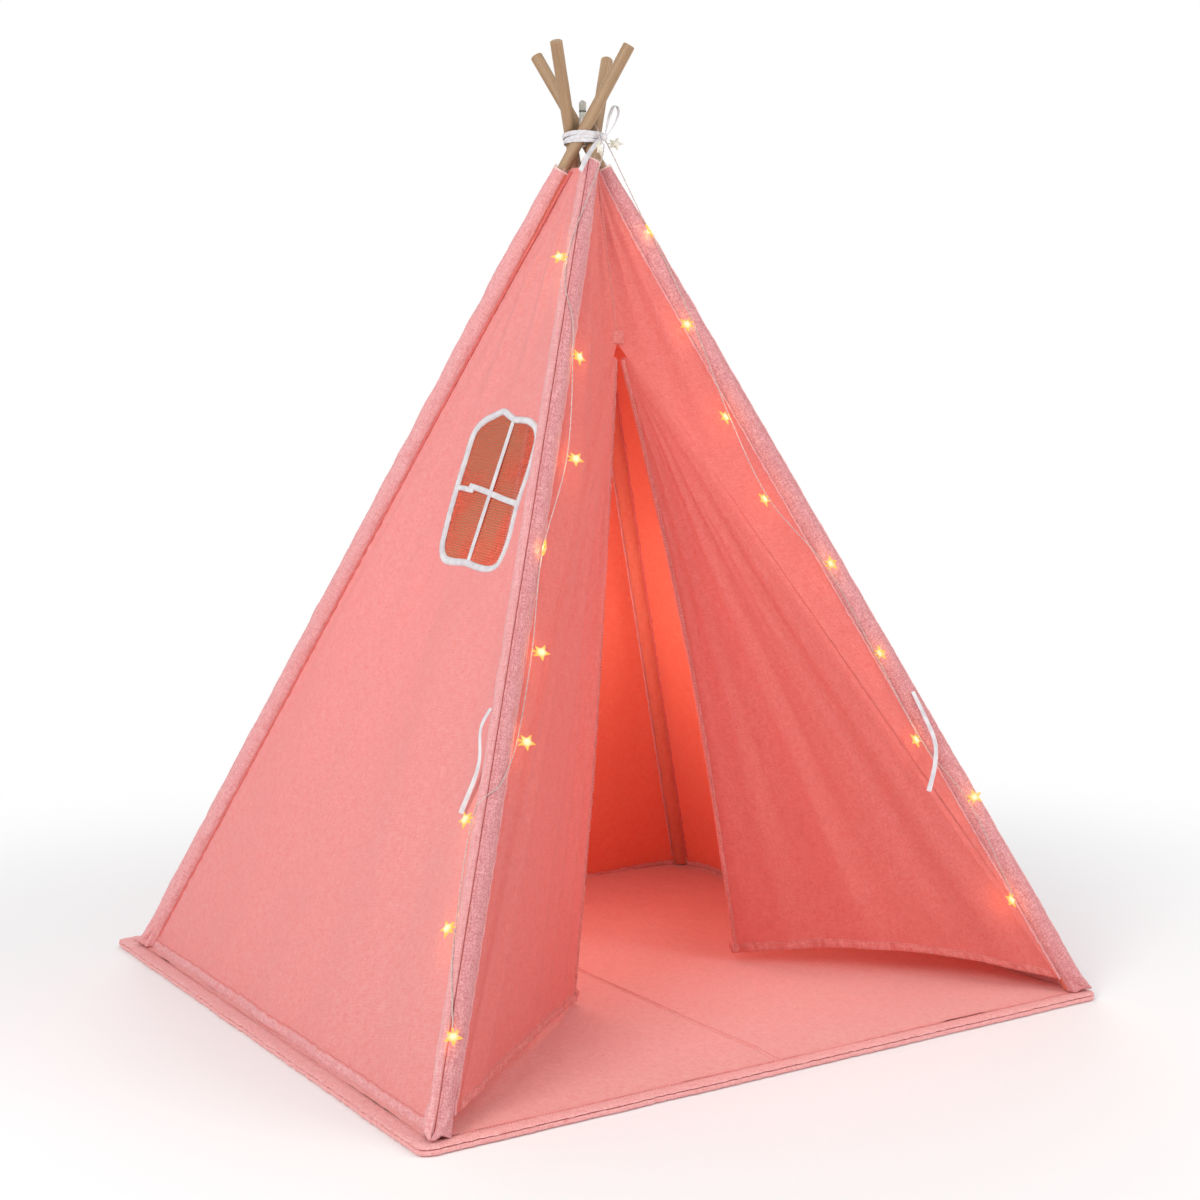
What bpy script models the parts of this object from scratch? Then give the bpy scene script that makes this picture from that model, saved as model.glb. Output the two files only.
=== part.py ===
"""Child's play tent: four sectional wooden poles lashed at the top, a cotton cover with two
door flaps and a window, a padded mat, and a string of star lights.

Metres, +Z up. The origin is the middle of the mat's underside. The door faces -Y.
"""

import bmesh
import bpy
from math import atan2, cos, hypot, pi, radians, sin
from mathutils import Vector

# Clearance between pieces that touch, and the cloth's thickness
GAP = 0.0003
CLOTH = 0.0012

# Mat
MAT_WIDTH = 1.20
MAT_DEPTH = 1.20
MAT_BASE_THICKNESS = 0.005
MAT_PAD_THICKNESS = 0.007
MAT_CORNER_RADIUS = 0.020
MAT_EDGE_ROUND = 0.004
MAT_STITCH_INSET = 0.024
MAT_STITCH_DIP = 0.0012
MAT_SEAM_X = -0.020
MAT_SEAM_WIDTH = 0.004
MAT_SEAM_DEPTH = 0.0015
MAT_SEAM_END = 0.030

# Where the frame stands on the mat, and its main sizes above the mat
TENT_X = 0.008
TENT_Y = -0.023
FOOT_X = MAT_WIDTH / 2 - 0.032
FOOT_Y = MAT_DEPTH / 2 - 0.055
LASHING_HEIGHT = 1.363
BUNDLE_RADIUS = 0.0195

# Poles
POLE_RADIUS = 0.010
POLE_LENGTH = 1.725
POLE_SECTIONS = 3
POLE_SIDES = 16
FERRULE_LENGTH = 0.060
FERRULE_WALL = 0.0008
FOOT_CAP_RADIUS = 0.0128
FOOT_CAP_LENGTH = 0.030
FOOT_CAP_FLOOR = 0.004
FOOT_CAP_ROUND = 0.0015

# Pole sleeves, with depths measured down from the lashing
SLEEVE_RADIUS = 0.018
SLEEVE_TOP_RADIUS = 0.0118
SLEEVE_TOP_DEPTH = 0.019
SLEEVE_FLARE = 0.045

# Cover panels
WALL_TOP_DEPTH = 0.034
HEM_GAP = 0.022
WALL_SLACK = 0.009
SEAM_GAP = 0.0008
SLIT_DEPTH = 0.332
SLIT_SAG = 0.052
SLIT_SAG_POWER = 1.5
SLIT_HALF = 0.0008
FLAP_TOP_SHARE = 0.022
FLAP_FOOT_CLEARANCE = 0.006
PANEL_TIP_GAP = 0.030
PATCH_WIDTH = 0.026
PATCH_HEIGHT = 0.020
PATCH_THICKNESS = 0.0012

# Door flaps: the free corner of each, from the middle of the tent on the mat's top
LEFT_CORNER = (-0.137, -0.172)
RIGHT_CORNER = (0.216, -0.116)
LEFT_CORNER_HEIGHT = 0.005
RIGHT_CORNER_HEIGHT = 0.015
FLAP_FOLD_DEPTH = 0.011
FLAP_FOLDS = 2.5
LEFT_EDGE_BOW = 0.008
RIGHT_EDGE_BOW = 0.020
LEFT_HEM_ARCH = 0.004
RIGHT_HEM_ARCH = 0.026
BINDING_THICKNESS = 0.0030
BINDING_START = 0.030
BINDING_END = 0.995
BINDING_STEPS = 14
BINDING_GAP = 0.0004
TOGGLE_RADIUS = 0.0045
TOGGLE_SHARE = 0.985

# Window in the left wall: its place down the wall and across it
WINDOW_SLOPE = 0.602
WINDOW_ACROSS = -0.094
WINDOW_WIDTH = 0.168
WINDOW_HEIGHT = 0.242
WINDOW_LEAN = 0.14
WINDOW_TILT = 0.08
WINDOW_ARCH = 0.034
WINDOW_CORNER = 0.034
WINDOW_TAPE = 0.013
WINDOW_BAR = 0.010
TAPE_THICKNESS = 0.0010
WINDOW_WAIST = 0.06
WINDOW_ROUNDING = 0.6
WINDOW_INNER_RING = 0.55
BAR_END_GAP = 0.003
RAIL_LIFT = 0.0001
POST_LEAN = -0.012
RAIL_RISE = -0.016

# Lashing ribbon, bow and ties
BAND_CORNER = 0.0125
BAND_HEIGHT = 0.0075
BAND_THICKNESS = 0.0010
BAND_SPACING = 0.0080
BAND_EASE = 0.0017
TIE_SWAY = 0.0006
CROSS_TIE_HEIGHT = 0.005
RIBBON_WIDTH = 0.008
RIBBON_THICKNESS = 0.0008
KNOT_SIZE = (0.011, 0.007, 0.010)
KNOT_X = 0.0185

# Star lights
WIRE_RADIUS = 0.0008
WIRE_POINTS = 90
WIRE_LIFT = 0.0012
WIRE_SIDES = 8
STAR_RADIUS = 0.0135
STAR_NOTCH = 0.0062
STAR_THICKNESS = 0.006
STAR_RIM = 0.002
STAR_TILT = radians(25)
STAR_POINTS = 5
STAR_FACING_REACH = 0.022
STEM_HALF = 0.0008
STEM_LENGTH = 0.0075
BATTERY_RADIUS = 0.0055
BATTERY_WALL = 0.0008
BATTERY_BELOW = 0.012
BATTERY_ABOVE = 0.045
BATTERY_CAP_RADIUS = 0.0060
BATTERY_CAP_HEIGHT = 0.014
BATTERY_CAP_WALL = 0.0020
BUTTON_RADIUS = 0.0030
BUTTON_CLEARANCE = 0.0005
BUTTON_TRAVEL = 0.0010
BUTTON_PROUD = BUTTON_TRAVEL + 0.0006
BUTTON_FLANGE = 0.0015
CELL_RADIUS = 0.0042
CELL_HEIGHT = 0.0042
CELL_STEP = 0.0036
CELL_EDGE = 0.0006
CELL_COUNT = 4

# Each star's place on its wire: depth below the lashing, the wire's offset from the pole's axis
# along X and Y, and the direction from the wire to the star in degrees (0 right, 90 up). A place
# without a direction only guides the wire.
LEFT_STARS = (
    (0.037, 0.0020, -0.0300, 180),
    (0.208, -0.0183, -0.0088, 180),
    (0.353, 0.0108, -0.0172, 0),
    (0.509, 0.0343, -0.0090, -10),
    (0.649, 0.0136, -0.0151, 185),
    (0.784, 0.0252, -0.0090, 0),
    (0.899, 0.0236, -0.0090, -5),
    (0.950, 0.0020, -0.0205, None),
    (0.999, -0.0201, 0.0026, 190),
    (1.124, -0.0203, 0.0003, 190),
    (1.239, -0.0115, -0.0167, -75),
)
RIGHT_STARS = (
    (0.006, 0.0225, -0.0240, -35),
    (0.149, 0.0091, -0.0182, 180),
    (0.294, -0.0080, -0.0187, 180),
    (0.444, -0.0365, -0.0090, 185),
    (0.580, -0.0537, -0.0090, 185),
    (0.695, -0.0175, -0.0102, 0),
    (0.826, -0.0191, -0.0068, 0),
    (0.964, -0.0315, -0.0120, 185),
    (1.066, -0.0114, -0.0168, 10),
    (1.207, -0.0300, -0.0160, 195),
)
# The tie ribbons' routes: depth below the lashing and offset from the pole's axis along X and Y
LEFT_TIE = ((0.857, -0.0198, 0.0038), (0.885, -0.0235, 0.016), (0.935, -0.0130, 0.024),
            (0.999, -0.0090, 0.058))
RIGHT_TIE = ((0.889, 0.0018, -0.0203), (0.925, -0.0060, -0.0240), (0.965, -0.0150, -0.0250),
             (1.000, -0.0400, -0.0230), (1.040, -0.0750, -0.0130))
# The wires' routes from the battery tube over the lashing, from the lashing's middle
LEFT_LEAD = ((0.0042, -0.0060, 0.019), (0.0085, -0.0150, 0.022), (0.0088, -0.0285, 0.0178),
             (0.0075, -0.0355, 0.006), (0.0080, -0.0400, -0.010))
RIGHT_LEAD = ((0.0066, 0.0030, 0.021), (0.0150, 0.0065, 0.023), (0.0285, 0.0080, 0.0180),
              (0.0355, 0.0050, 0.007))

MAT_TOP = MAT_BASE_THICKNESS + GAP + MAT_PAD_THICKNESS
LASHING = Vector((TENT_X, TENT_Y, MAT_TOP + LASHING_HEIGHT))
HEM_DEPTH = LASHING_HEIGHT - HEM_GAP
FLARE_END_DEPTH = SLEEVE_TOP_DEPTH + (SLEEVE_RADIUS - SLEEVE_TOP_RADIUS) / SLEEVE_FLARE
PANEL_ROWS = 12
FLARE_ROWS = 3
SEAM_ROWS = 4
FRONT_ROWS = 16
FRONT_COLUMNS = 12
FLAP_ROWS = 10
FLAP_COLUMNS = 20
WALL_COLUMNS = 12
BACK_COLUMNS = 8
LEFT, RIGHT = -1, 1
FRONT, BACK = -1, 1
SIDE_WORD = {LEFT: "left", RIGHT: "right"}
END_WORD = {FRONT: "front", BACK: "back"}


def clear_scene():
    for item in list(bpy.data.objects):
        bpy.data.objects.remove(item, do_unlink=True)


def make_material(name, colour, roughness, metallic=0.0):
    material = bpy.data.materials.new(name)
    material.use_nodes = True
    shader = material.node_tree.nodes["Principled BSDF"]
    shader.inputs["Base Color"].default_value = (*colour, 1.0)
    shader.inputs["Roughness"].default_value = roughness
    shader.inputs["Metallic"].default_value = metallic
    return material


def cotton():
    return make_material("cotton", (0.80, 0.22, 0.19), 0.90)


def white_tape():
    return make_material("white_tape", (0.86, 0.86, 0.86), 0.80)


def pale_wood():
    return make_material("pale_wood", (0.60, 0.41, 0.24), 0.60)


def steel():
    return make_material("steel", (0.60, 0.60, 0.62), 0.35, 1.0)


def rubber():
    return make_material("rubber", (0.05, 0.05, 0.05), 0.85)


def window_net():
    return make_material("window_net", (0.62, 0.30, 0.24), 0.90)


def clear_plastic():
    return make_material("clear_plastic", (0.82, 0.84, 0.82), 0.30)


def warm_light():
    return make_material("warm_light", (1.00, 0.62, 0.12), 0.35)


def wire_jacket():
    return make_material("wire_jacket", (0.62, 0.60, 0.55), 0.40)


def add_holder(name, place):
    """An empty on a joint's axis, which carries the pieces that move with it."""
    holder = bpy.data.objects.new(name, None)
    bpy.context.scene.collection.objects.link(holder)
    holder.location = place
    bpy.context.view_layer.update()
    return holder


def add_piece(name, points, faces, material, holder, sharp_angle=35):
    """A solid from world points, hung on the empty of the body that it moves with."""
    origin = holder.matrix_world.translation
    mesh = bpy.data.meshes.new(name)
    mesh.from_pydata([Vector(point) - origin for point in points], [], faces)
    editable = bmesh.new()
    editable.from_mesh(mesh)
    bmesh.ops.recalc_face_normals(editable, faces=editable.faces)
    editable.to_mesh(mesh)
    editable.free()
    mesh.shade_smooth()
    mesh.set_sharp_from_angle(angle=radians(sharp_angle))
    mesh.materials.append(material)
    piece = bpy.data.objects.new(name, mesh)
    bpy.context.scene.collection.objects.link(piece)
    piece.parent = holder
    return piece


def fuse(piece, other):
    """Join another shape to a piece as one solid; the other shape stays as a hidden guide."""
    other.hide_render = True
    other.display_type = "WIRE"
    union = piece.modifiers.new("join", "BOOLEAN")
    union.operation = "UNION"
    union.object = other


def cut_out(piece, other):
    """Cut a shape out of a piece; the shape stays as a hidden guide."""
    other.hide_render = True
    other.display_type = "WIRE"
    cut = piece.modifiers.new("cut", "BOOLEAN")
    cut.operation = "DIFFERENCE"
    cut.object = other


def loft(rings, closed_ring=True, cap_start=True, cap_end=True):
    """Points and faces of a skin over rings of equal length."""
    count = len(rings[0])
    points = [point for ring in rings for point in ring]
    faces = []
    for row in range(len(rings) - 1):
        for column in range(count if closed_ring else count - 1):
            beside = (column + 1) % count
            faces.append((row * count + column, row * count + beside,
                          (row + 1) * count + beside, (row + 1) * count + column))
    if cap_start:
        faces.append(tuple(range(count)))
    if cap_end:
        faces.append(tuple((len(rings) - 1) * count + column for column in range(count)))
    return points, faces


def joined(*solids):
    """Several separate solids as the points and faces of one node."""
    points, faces = [], []
    for more_points, more_faces in solids:
        start = len(points)
        points += more_points
        faces += [tuple(start + index for index in face) for face in more_faces]
    return points, faces


def across_axis(direction):
    """Two unit vectors square to a direction."""
    first = direction.cross(Vector((0, 0, 1)))
    if first.length < 1e-6:
        first = Vector((1, 0, 0))
    first.normalize()
    return first, direction.cross(first).normalized()


def ring_points(middle, direction, radius, sides=POLE_SIDES):
    first, second = across_axis(direction)
    return [middle + (first * cos(2 * pi * i / sides) + second * sin(2 * pi * i / sides)) * radius
            for i in range(sides)]


def rod(start, end, radius, sides=POLE_SIDES):
    direction = (end - start).normalized()
    return loft([ring_points(start, direction, radius, sides), ring_points(end, direction, radius, sides)])


def turned(start, direction, profile, sides=POLE_SIDES):
    """A solid or a ring turned about an axis from (distance, radius) points of a closed profile."""
    rings = [ring_points(start + direction * along, direction, radius, sides) for along, radius in profile]
    rings.append(rings[0])
    points, faces = loft(rings, cap_start=False, cap_end=False)
    count = sides * len(profile)
    return points[:count], [tuple(index % count for index in face) for face in faces]


def cup(start, direction, profile, sides=POLE_SIDES):
    """A solid turned about an axis from an open profile whose two ends are closed flat."""
    rings = [ring_points(start + direction * along, direction, radius, sides) for along, radius in profile]
    return loft(rings)


class Pole:
    """One pole's line, from its foot on the mat past the lashing to its tip."""

    def __init__(self, side, end):
        self.side = side
        self.end = end
        self.name = f"{END_WORD[end]}_{SIDE_WORD[side]}"
        azimuth = atan2(end * FOOT_Y, side * FOOT_X) + pi / 2
        self.crossing = LASHING + Vector((cos(azimuth), sin(azimuth), 0)) * BUNDLE_RADIUS
        ground = Vector((TENT_X + side * FOOT_X, TENT_Y + end * FOOT_Y, MAT_TOP))
        lean = (self.crossing - ground).normalized()
        edge_drop = FOOT_CAP_RADIUS * hypot(lean.x, lean.y)
        self.foot = ground + Vector((0, 0, 2 * GAP + CLOTH + edge_drop))
        self.direction = (self.crossing - self.foot).normalized()

    def at_depth(self, depth):
        """The point on the axis at a depth below the lashing."""
        return self.crossing - self.direction * (depth / self.direction.z)

    def along(self, distance):
        return self.foot + self.direction * distance

    def side_reach(self, depth, toward):
        """How far a level line runs from the axis to just clear of the sleeve."""
        lean = toward.dot(self.direction)
        radius = sleeve_radius(depth + SLEEVE_RADIUS * abs(lean))
        return (radius + GAP) / (1 - lean * lean) ** 0.5


def sleeve_radius(depth):
    return min(SLEEVE_RADIUS, SLEEVE_TOP_RADIUS + SLEEVE_FLARE * (depth - SLEEVE_TOP_DEPTH))


POLES = {(side, end): Pole(side, end) for side in (LEFT, RIGHT) for end in (FRONT, BACK)}


def build_pole(pole, holder):
    """The turned sections, the ferrules that join them and the rubber foot cap."""
    wood = pale_wood()
    start = FOOT_CAP_FLOOR + GAP
    length = POLE_LENGTH / POLE_SECTIONS
    for index in range(POLE_SECTIONS):
        low = pole.along(start + length * index)
        high = pole.along(start + length * (index + 1) - GAP)
        add_piece(f"pole_{pole.name}_section_{index + 1}", *rod(low, high, POLE_RADIUS), wood, holder)
    inner = POLE_RADIUS + GAP
    outer = inner + FERRULE_WALL
    metal = steel()
    for joint in range(1, POLE_SECTIONS):
        bottom = pole.along(start + length * joint - FERRULE_LENGTH / 2)
        profile = ((0, inner), (0, outer), (FERRULE_LENGTH, outer), (FERRULE_LENGTH, inner))
        ferrule = turned(bottom, pole.direction, profile)
        add_piece(f"ferrule_{pole.name}_{joint}", *ferrule, metal, holder)
    profile = ((0, FOOT_CAP_RADIUS - FOOT_CAP_ROUND), (FOOT_CAP_ROUND, FOOT_CAP_RADIUS),
               (FOOT_CAP_LENGTH, FOOT_CAP_RADIUS),
               (FOOT_CAP_LENGTH, inner), (FOOT_CAP_FLOOR, inner))
    add_piece(f"foot_cap_{pole.name}", *cup(pole.foot, pole.direction, profile), rubber(), holder)


def level_ring(pole, radius, height):
    """The sleeve's ring where a level plane cuts it."""
    ring = []
    for point in ring_points(pole.foot, pole.direction, radius):
        ring.append(point + pole.direction * ((height - point.z) / pole.direction.z))
    return ring


def build_sleeve(pole, holder):
    """A cloth tube round the pole, open at the top, sewn shut and flat on the mat below."""
    depths = (SLEEVE_TOP_DEPTH, (SLEEVE_TOP_DEPTH + FLARE_END_DEPTH) / 2, FLARE_END_DEPTH)
    outer = [ring_points(pole.at_depth(depth), pole.direction, sleeve_radius(depth)) for depth in depths]
    inner = [ring_points(pole.at_depth(depth), pole.direction, sleeve_radius(depth) - CLOTH)
             for depth in depths]
    outer.append(level_ring(pole, SLEEVE_RADIUS, MAT_TOP + GAP))
    inner.append(level_ring(pole, SLEEVE_RADIUS - CLOTH, MAT_TOP + GAP + CLOTH))
    rings = list(reversed(outer)) + inner
    add_piece(f"sleeve_{pole.name}", *loft(rings), cotton(), holder)


def cloth_solid(surface, columns, rows, thickness=CLOTH, offset=0.0):
    """A closed sheet about surface(u, v), offset along its normal."""
    step = 0.002
    sides = ([], [])
    for row in range(rows + 1):
        for column in range(columns + 1):
            u, v = column / columns, row / rows
            along_u = surface(min(u + step, 1), v) - surface(max(u - step, 0), v)
            along_v = surface(u, min(v + step, 1)) - surface(u, max(v - step, 0))
            normal = along_u.cross(along_v).normalized()
            for which, sign in ((0, 0.5), (1, -0.5)):
                sides[which].append(surface(u, v) + normal * (offset + sign * thickness))
    count = len(sides[0])
    wide = columns + 1
    faces = []
    for row in range(rows):
        for column in range(columns):
            a = row * wide + column
            quad = (a, a + 1, a + 1 + wide, a + wide)
            faces.append(quad)
            faces.append(tuple(count + index for index in reversed(quad)))
    rim = [column for column in range(wide)]
    rim += [row * wide + columns for row in range(1, rows + 1)]
    rim += [rows * wide + column for column in range(columns - 1, -1, -1)]
    rim += [row * wide for row in range(rows - 1, 0, -1)]
    for index, point in enumerate(rim):
        following = rim[(index + 1) % len(rim)]
        faces.append((following, point, count + point, count + following))
    return sides[0] + sides[1], faces


def between(first, second, u, depth):
    """A point of the ruled panel between two poles' sleeves, u from the first to the second."""
    start, end = first.at_depth(depth), second.at_depth(depth)
    toward = (end - start).normalized()
    start += toward * first.side_reach(depth, toward)
    end -= toward * second.side_reach(depth, -toward)
    return start.lerp(end, u)


def wall_surface(first, second, u, depth):
    """The panel with its slack, which sags towards the tent's middle."""
    share = (depth - WALL_TOP_DEPTH) / (HEM_DEPTH - WALL_TOP_DEPTH)
    sag = WALL_SLACK * sin(pi * u) * sin(pi * min(max(share, 0), 1)) ** 0.5
    point = between(first, second, u, depth)
    inward = Vector((LASHING.x - point.x, LASHING.y - point.y, 0)).normalized()
    return point + inward * sag


def stepped(v, stops):
    """A depth between (share, depth) stops, so that a row of the panel lands on each stop."""
    for (share, depth), (next_share, next_depth) in zip(stops, stops[1:]):
        if v <= next_share:
            return depth + (next_depth - depth) * (v - share) / (next_share - share)
    return stops[-1][1]


def row_depth(v):
    """Depth of a side or back panel's row, with a row where the sleeves stop flaring."""
    return stepped(v, ((0, WALL_TOP_DEPTH), (FLARE_ROWS / PANEL_ROWS, FLARE_END_DEPTH), (1, HEM_DEPTH)))


def front_row_depth(v):
    """Depth of a front panel's row, with rows where the sleeves stop flaring and at the slit's top."""
    seam_end = FLARE_ROWS + SEAM_ROWS
    return stepped(v, ((0, WALL_TOP_DEPTH), (FLARE_ROWS / FRONT_ROWS, FLARE_END_DEPTH),
                       (seam_end / FRONT_ROWS, SLIT_DEPTH), (1, HEM_DEPTH - PANEL_TIP_GAP)))


def window_outline(inset):
    """The window's outline across and down the wall, drawn in by an inset, corner by corner."""
    half, top, bottom = WINDOW_WIDTH / 2 - inset, WINDOW_HEIGHT / 2 - inset, -WINDOW_HEIGHT / 2 + inset
    corner = WINDOW_CORNER - inset
    points = []
    for angle in (-90, -60, -30, 0):
        turn = radians(angle)
        points.append((half - corner + corner * cos(turn), bottom + corner + corner * sin(turn)))
    shoulder = top - WINDOW_ARCH
    for index in range(9):
        turn = pi * index / 8
        rise = WINDOW_ARCH * sin(turn) ** WINDOW_ROUNDING
        points.append((half * cos(turn) * (1 - WINDOW_WAIST * sin(turn)), shoulder + rise))
    for angle in (180, 210, 240, 270):
        turn = radians(angle)
        points.append((-half + corner + corner * cos(turn), bottom + corner + corner * sin(turn)))
    return points


def on_left_wall(across, up, offset=0.0):
    """The wall's point at a place of the window, lifted off the cloth's middle to the outside."""
    front, back = POLES[LEFT, FRONT], POLES[LEFT, BACK]
    slope = hypot(FOOT_X, LASHING_HEIGHT)

    def point_at(run, rise):
        run, rise = run + WINDOW_LEAN * rise, rise + WINDOW_TILT * run
        depth = (WINDOW_SLOPE - rise) * LASHING_HEIGHT / slope
        start, end = between(front, back, 0, depth), between(front, back, 1, depth)
        u = (TENT_Y + WINDOW_ACROSS + run - start.y) / (end.y - start.y)
        return wall_surface(front, back, u, depth)

    step = 0.004
    along = point_at(across + step, up) - point_at(across - step, up)
    rising = point_at(across, up + step) - point_at(across, up - step)
    normal = rising.cross(along).normalized()
    if normal.x > 0:
        normal.negate()
    return point_at(across, up) + normal * offset


def window_layer(shape, low, high):
    """A solid of window shape (across, up) points between two heights off the cloth's middle."""
    rings = []
    for share in (1.0, WINDOW_INNER_RING):
        rings.append([on_left_wall(across * share, up * share, high) for across, up in shape])
    upper_middle = on_left_wall(0, 0, high)
    for share in (WINDOW_INNER_RING, 1.0):
        rings.append([on_left_wall(across * share, up * share, low) for across, up in shape])
    lower_middle = on_left_wall(0, 0, low)
    count = len(shape)
    points = [point for ring in rings for point in ring] + [upper_middle, lower_middle]
    faces = []
    for row_from, row_to in ((0, 1), (2, 3), (3, 0)):
        for column in range(count):
            beside = (column + 1) % count
            faces.append((row_from * count + column, row_from * count + beside,
                          row_to * count + beside, row_to * count + column))
    for column in range(count):
        beside = (column + 1) % count
        faces.append((count + column, count + beside, 4 * count))
        faces.append((2 * count + beside, 2 * count + column, 4 * count + 1))
    return points, faces


def window_strip(centre_line, width, low, high):
    """A bar of tape that follows (across, up) points on the wall."""
    rings = []
    for index, (across, up) in enumerate(centre_line):
        before = Vector(centre_line[max(index - 1, 0)])
        after = Vector(centre_line[min(index + 1, len(centre_line) - 1)])
        run = (after - before).normalized()
        shift = Vector((-run.y, run.x)) * width / 2
        rings.append([on_left_wall(across + shift.x, up + shift.y, low),
                      on_left_wall(across - shift.x, up - shift.y, low),
                      on_left_wall(across - shift.x, up - shift.y, high),
                      on_left_wall(across + shift.x, up + shift.y, high)])
    return loft(rings)


def straight_line(start, end, steps):
    return [(start[0] + (end[0] - start[0]) * i / steps, start[1] + (end[1] - start[1]) * i / steps)
            for i in range(steps + 1)]


def build_window(holder):
    tape_low = CLOTH / 2 + GAP
    tape_high = tape_low + TAPE_THICKNESS
    net = window_layer(window_outline(GAP), -CLOTH / 2, CLOTH / 2)
    add_piece("window_net", *net, window_net(), holder)
    outside = [on_left_wall(across, up, offset) for offset in (tape_low, tape_high)
               for across, up in window_outline(-WINDOW_TAPE / 2)]
    inside = [on_left_wall(across, up, offset) for offset in (tape_low, tape_high)
              for across, up in window_outline(WINDOW_TAPE / 2)]
    count = len(outside) // 2
    rings = [outside[:count], outside[count:], inside[count:], inside[:count], outside[:count]]
    points, faces = loft(rings, cap_start=False, cap_end=False)
    size = 4 * count
    faces = [tuple(index % size for index in face) for face in faces]
    add_piece("window_trim", points[:size], faces, white_tape(), holder)
    reach = WINDOW_TAPE / 2 + GAP
    top, bottom = WINDOW_HEIGHT / 2 - reach, -WINDOW_HEIGHT / 2 + reach
    post_x = POST_LEAN / 2
    post = window_strip(straight_line((-post_x, bottom), (post_x, top - 3 * GAP), 8), WINDOW_BAR,
                        tape_low, tape_high)
    half = WINDOW_WIDTH / 2 - reach - BAR_END_GAP
    rail = window_strip(straight_line((-half, RAIL_RISE), (half, RAIL_RISE), 8), WINDOW_BAR,
                        tape_low + RAIL_LIFT, tape_high + RAIL_LIFT)
    bars = add_piece("window_bars", *post, white_tape(), holder)
    fuse(bars, add_piece("window_rail_guide", *rail, white_tape(), holder))


def build_side_wall(side, holder):
    front, back = POLES[side, FRONT], POLES[side, BACK]
    solid = cloth_solid(lambda u, v: wall_surface(front, back, u, row_depth(v)), WALL_COLUMNS, PANEL_ROWS)
    wall = add_piece(f"{SIDE_WORD[side]}_wall", *solid, cotton(), holder)
    if side == RIGHT:
        return
    outline = window_outline(0)
    cutter_points, cutter_faces = loft([[on_left_wall(across, up, offset) for across, up in outline]
                                        for offset in (-0.01, 0.01)])
    cut_out(wall, add_piece("window_cutter", cutter_points, cutter_faces, cotton(), holder))
    build_window(holder)


def build_back_half(side, holder):
    """Half of the back wall, from its pole to the seam in the middle."""
    own, other = POLES[side, BACK], POLES[-side, BACK]
    half = 0.5 - SEAM_GAP / (4 * FOOT_X)

    def surface(u, v):
        middle = wall_surface(own, other, 0.5, row_depth(v))
        point = wall_surface(own, other, u * half, row_depth(v))
        clear = (between(own, other, 0, row_depth(v)) - middle).normalized() * SEAM_GAP / 2
        return point + clear * u

    add_piece(f"back_wall_{SIDE_WORD[side]}", *cloth_solid(surface, BACK_COLUMNS, PANEL_ROWS), cotton(),
              holder)


def seam_point(depth):
    """The centre seam of the front, which the door flaps pull into the tent."""
    middle = between(POLES[LEFT, FRONT], POLES[RIGHT, FRONT], 0.5, depth)
    return middle + Vector((0, SLIT_SAG * (depth / SLIT_DEPTH) ** SLIT_SAG_POWER, 0))


def slit_top():
    return seam_point(SLIT_DEPTH)


def hinge_line(side):
    """The flap's fold line, from beside the slit's top to beside the foot of the pole."""
    pole, other = POLES[side, FRONT], POLES[-side, FRONT]
    toward = (other.at_depth(HEM_DEPTH) - pole.at_depth(HEM_DEPTH)).normalized()
    low = pole.at_depth(HEM_DEPTH) + toward * (pole.side_reach(HEM_DEPTH, toward) + FLAP_FOOT_CLEARANCE)
    return slit_top() - toward * SLIT_HALF, low


def front_point(side, u, depth):
    """The fixed front panel: u from the sleeve's edge to the centre seam or the flap's fold line."""
    pole, other = POLES[side, FRONT], POLES[-side, FRONT]
    edge, middle = between(pole, other, 0, depth), between(pole, other, 0.5, depth)
    inner = seam_point(depth)
    if depth > SLIT_DEPTH:
        high, low = hinge_line(side)
        inner = high.lerp(low, (high.z - inner.z) / (high.z - low.z))
    flat = edge.lerp(middle, (inner.x - edge.x) / (middle.x - edge.x))
    away = (edge - flat).normalized() * SEAM_GAP
    return edge.lerp(flat + away, u) + (inner - flat) * (u * u * (3 - 2 * u))


def build_front_panel(side, holder):
    """The fixed part of the front, between the sleeve, the centre seam and the flap's fold line."""
    solid = cloth_solid(lambda u, v: front_point(side, u, front_row_depth(v)), FRONT_COLUMNS, FRONT_ROWS)
    add_piece(f"front_panel_{SIDE_WORD[side]}", *solid, cotton(), holder)


def build_slit_patch(holder):
    """The stitched patch that keeps the slit's top from tearing, over the end of the seam."""
    panel_half_width = FOOT_X * SLIT_DEPTH / LASHING_HEIGHT

    def surface(u, v):
        run = (u - 0.5) * PATCH_WIDTH
        side = LEFT if run < 0 else RIGHT
        depth = SLIT_DEPTH - PATCH_HEIGHT * (1 - v)
        return front_point(side, 1 - abs(run) / panel_half_width, depth)

    patch = cloth_solid(surface, 6, 3, PATCH_THICKNESS, CLOTH + GAP)
    add_piece("slit_patch", *patch, cotton(), holder)


def flap_edges(side):
    """The flap's free corner, how far its edge bows sideways and how high its hem arches."""
    if side == LEFT:
        place, height, bow, arch = LEFT_CORNER, LEFT_CORNER_HEIGHT, LEFT_EDGE_BOW, LEFT_HEM_ARCH
    else:
        place, height, bow, arch = RIGHT_CORNER, RIGHT_CORNER_HEIGHT, RIGHT_EDGE_BOW, RIGHT_HEM_ARCH
    return Vector((TENT_X + place[0], TENT_Y + place[1], MAT_TOP + height)), bow, arch


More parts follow.
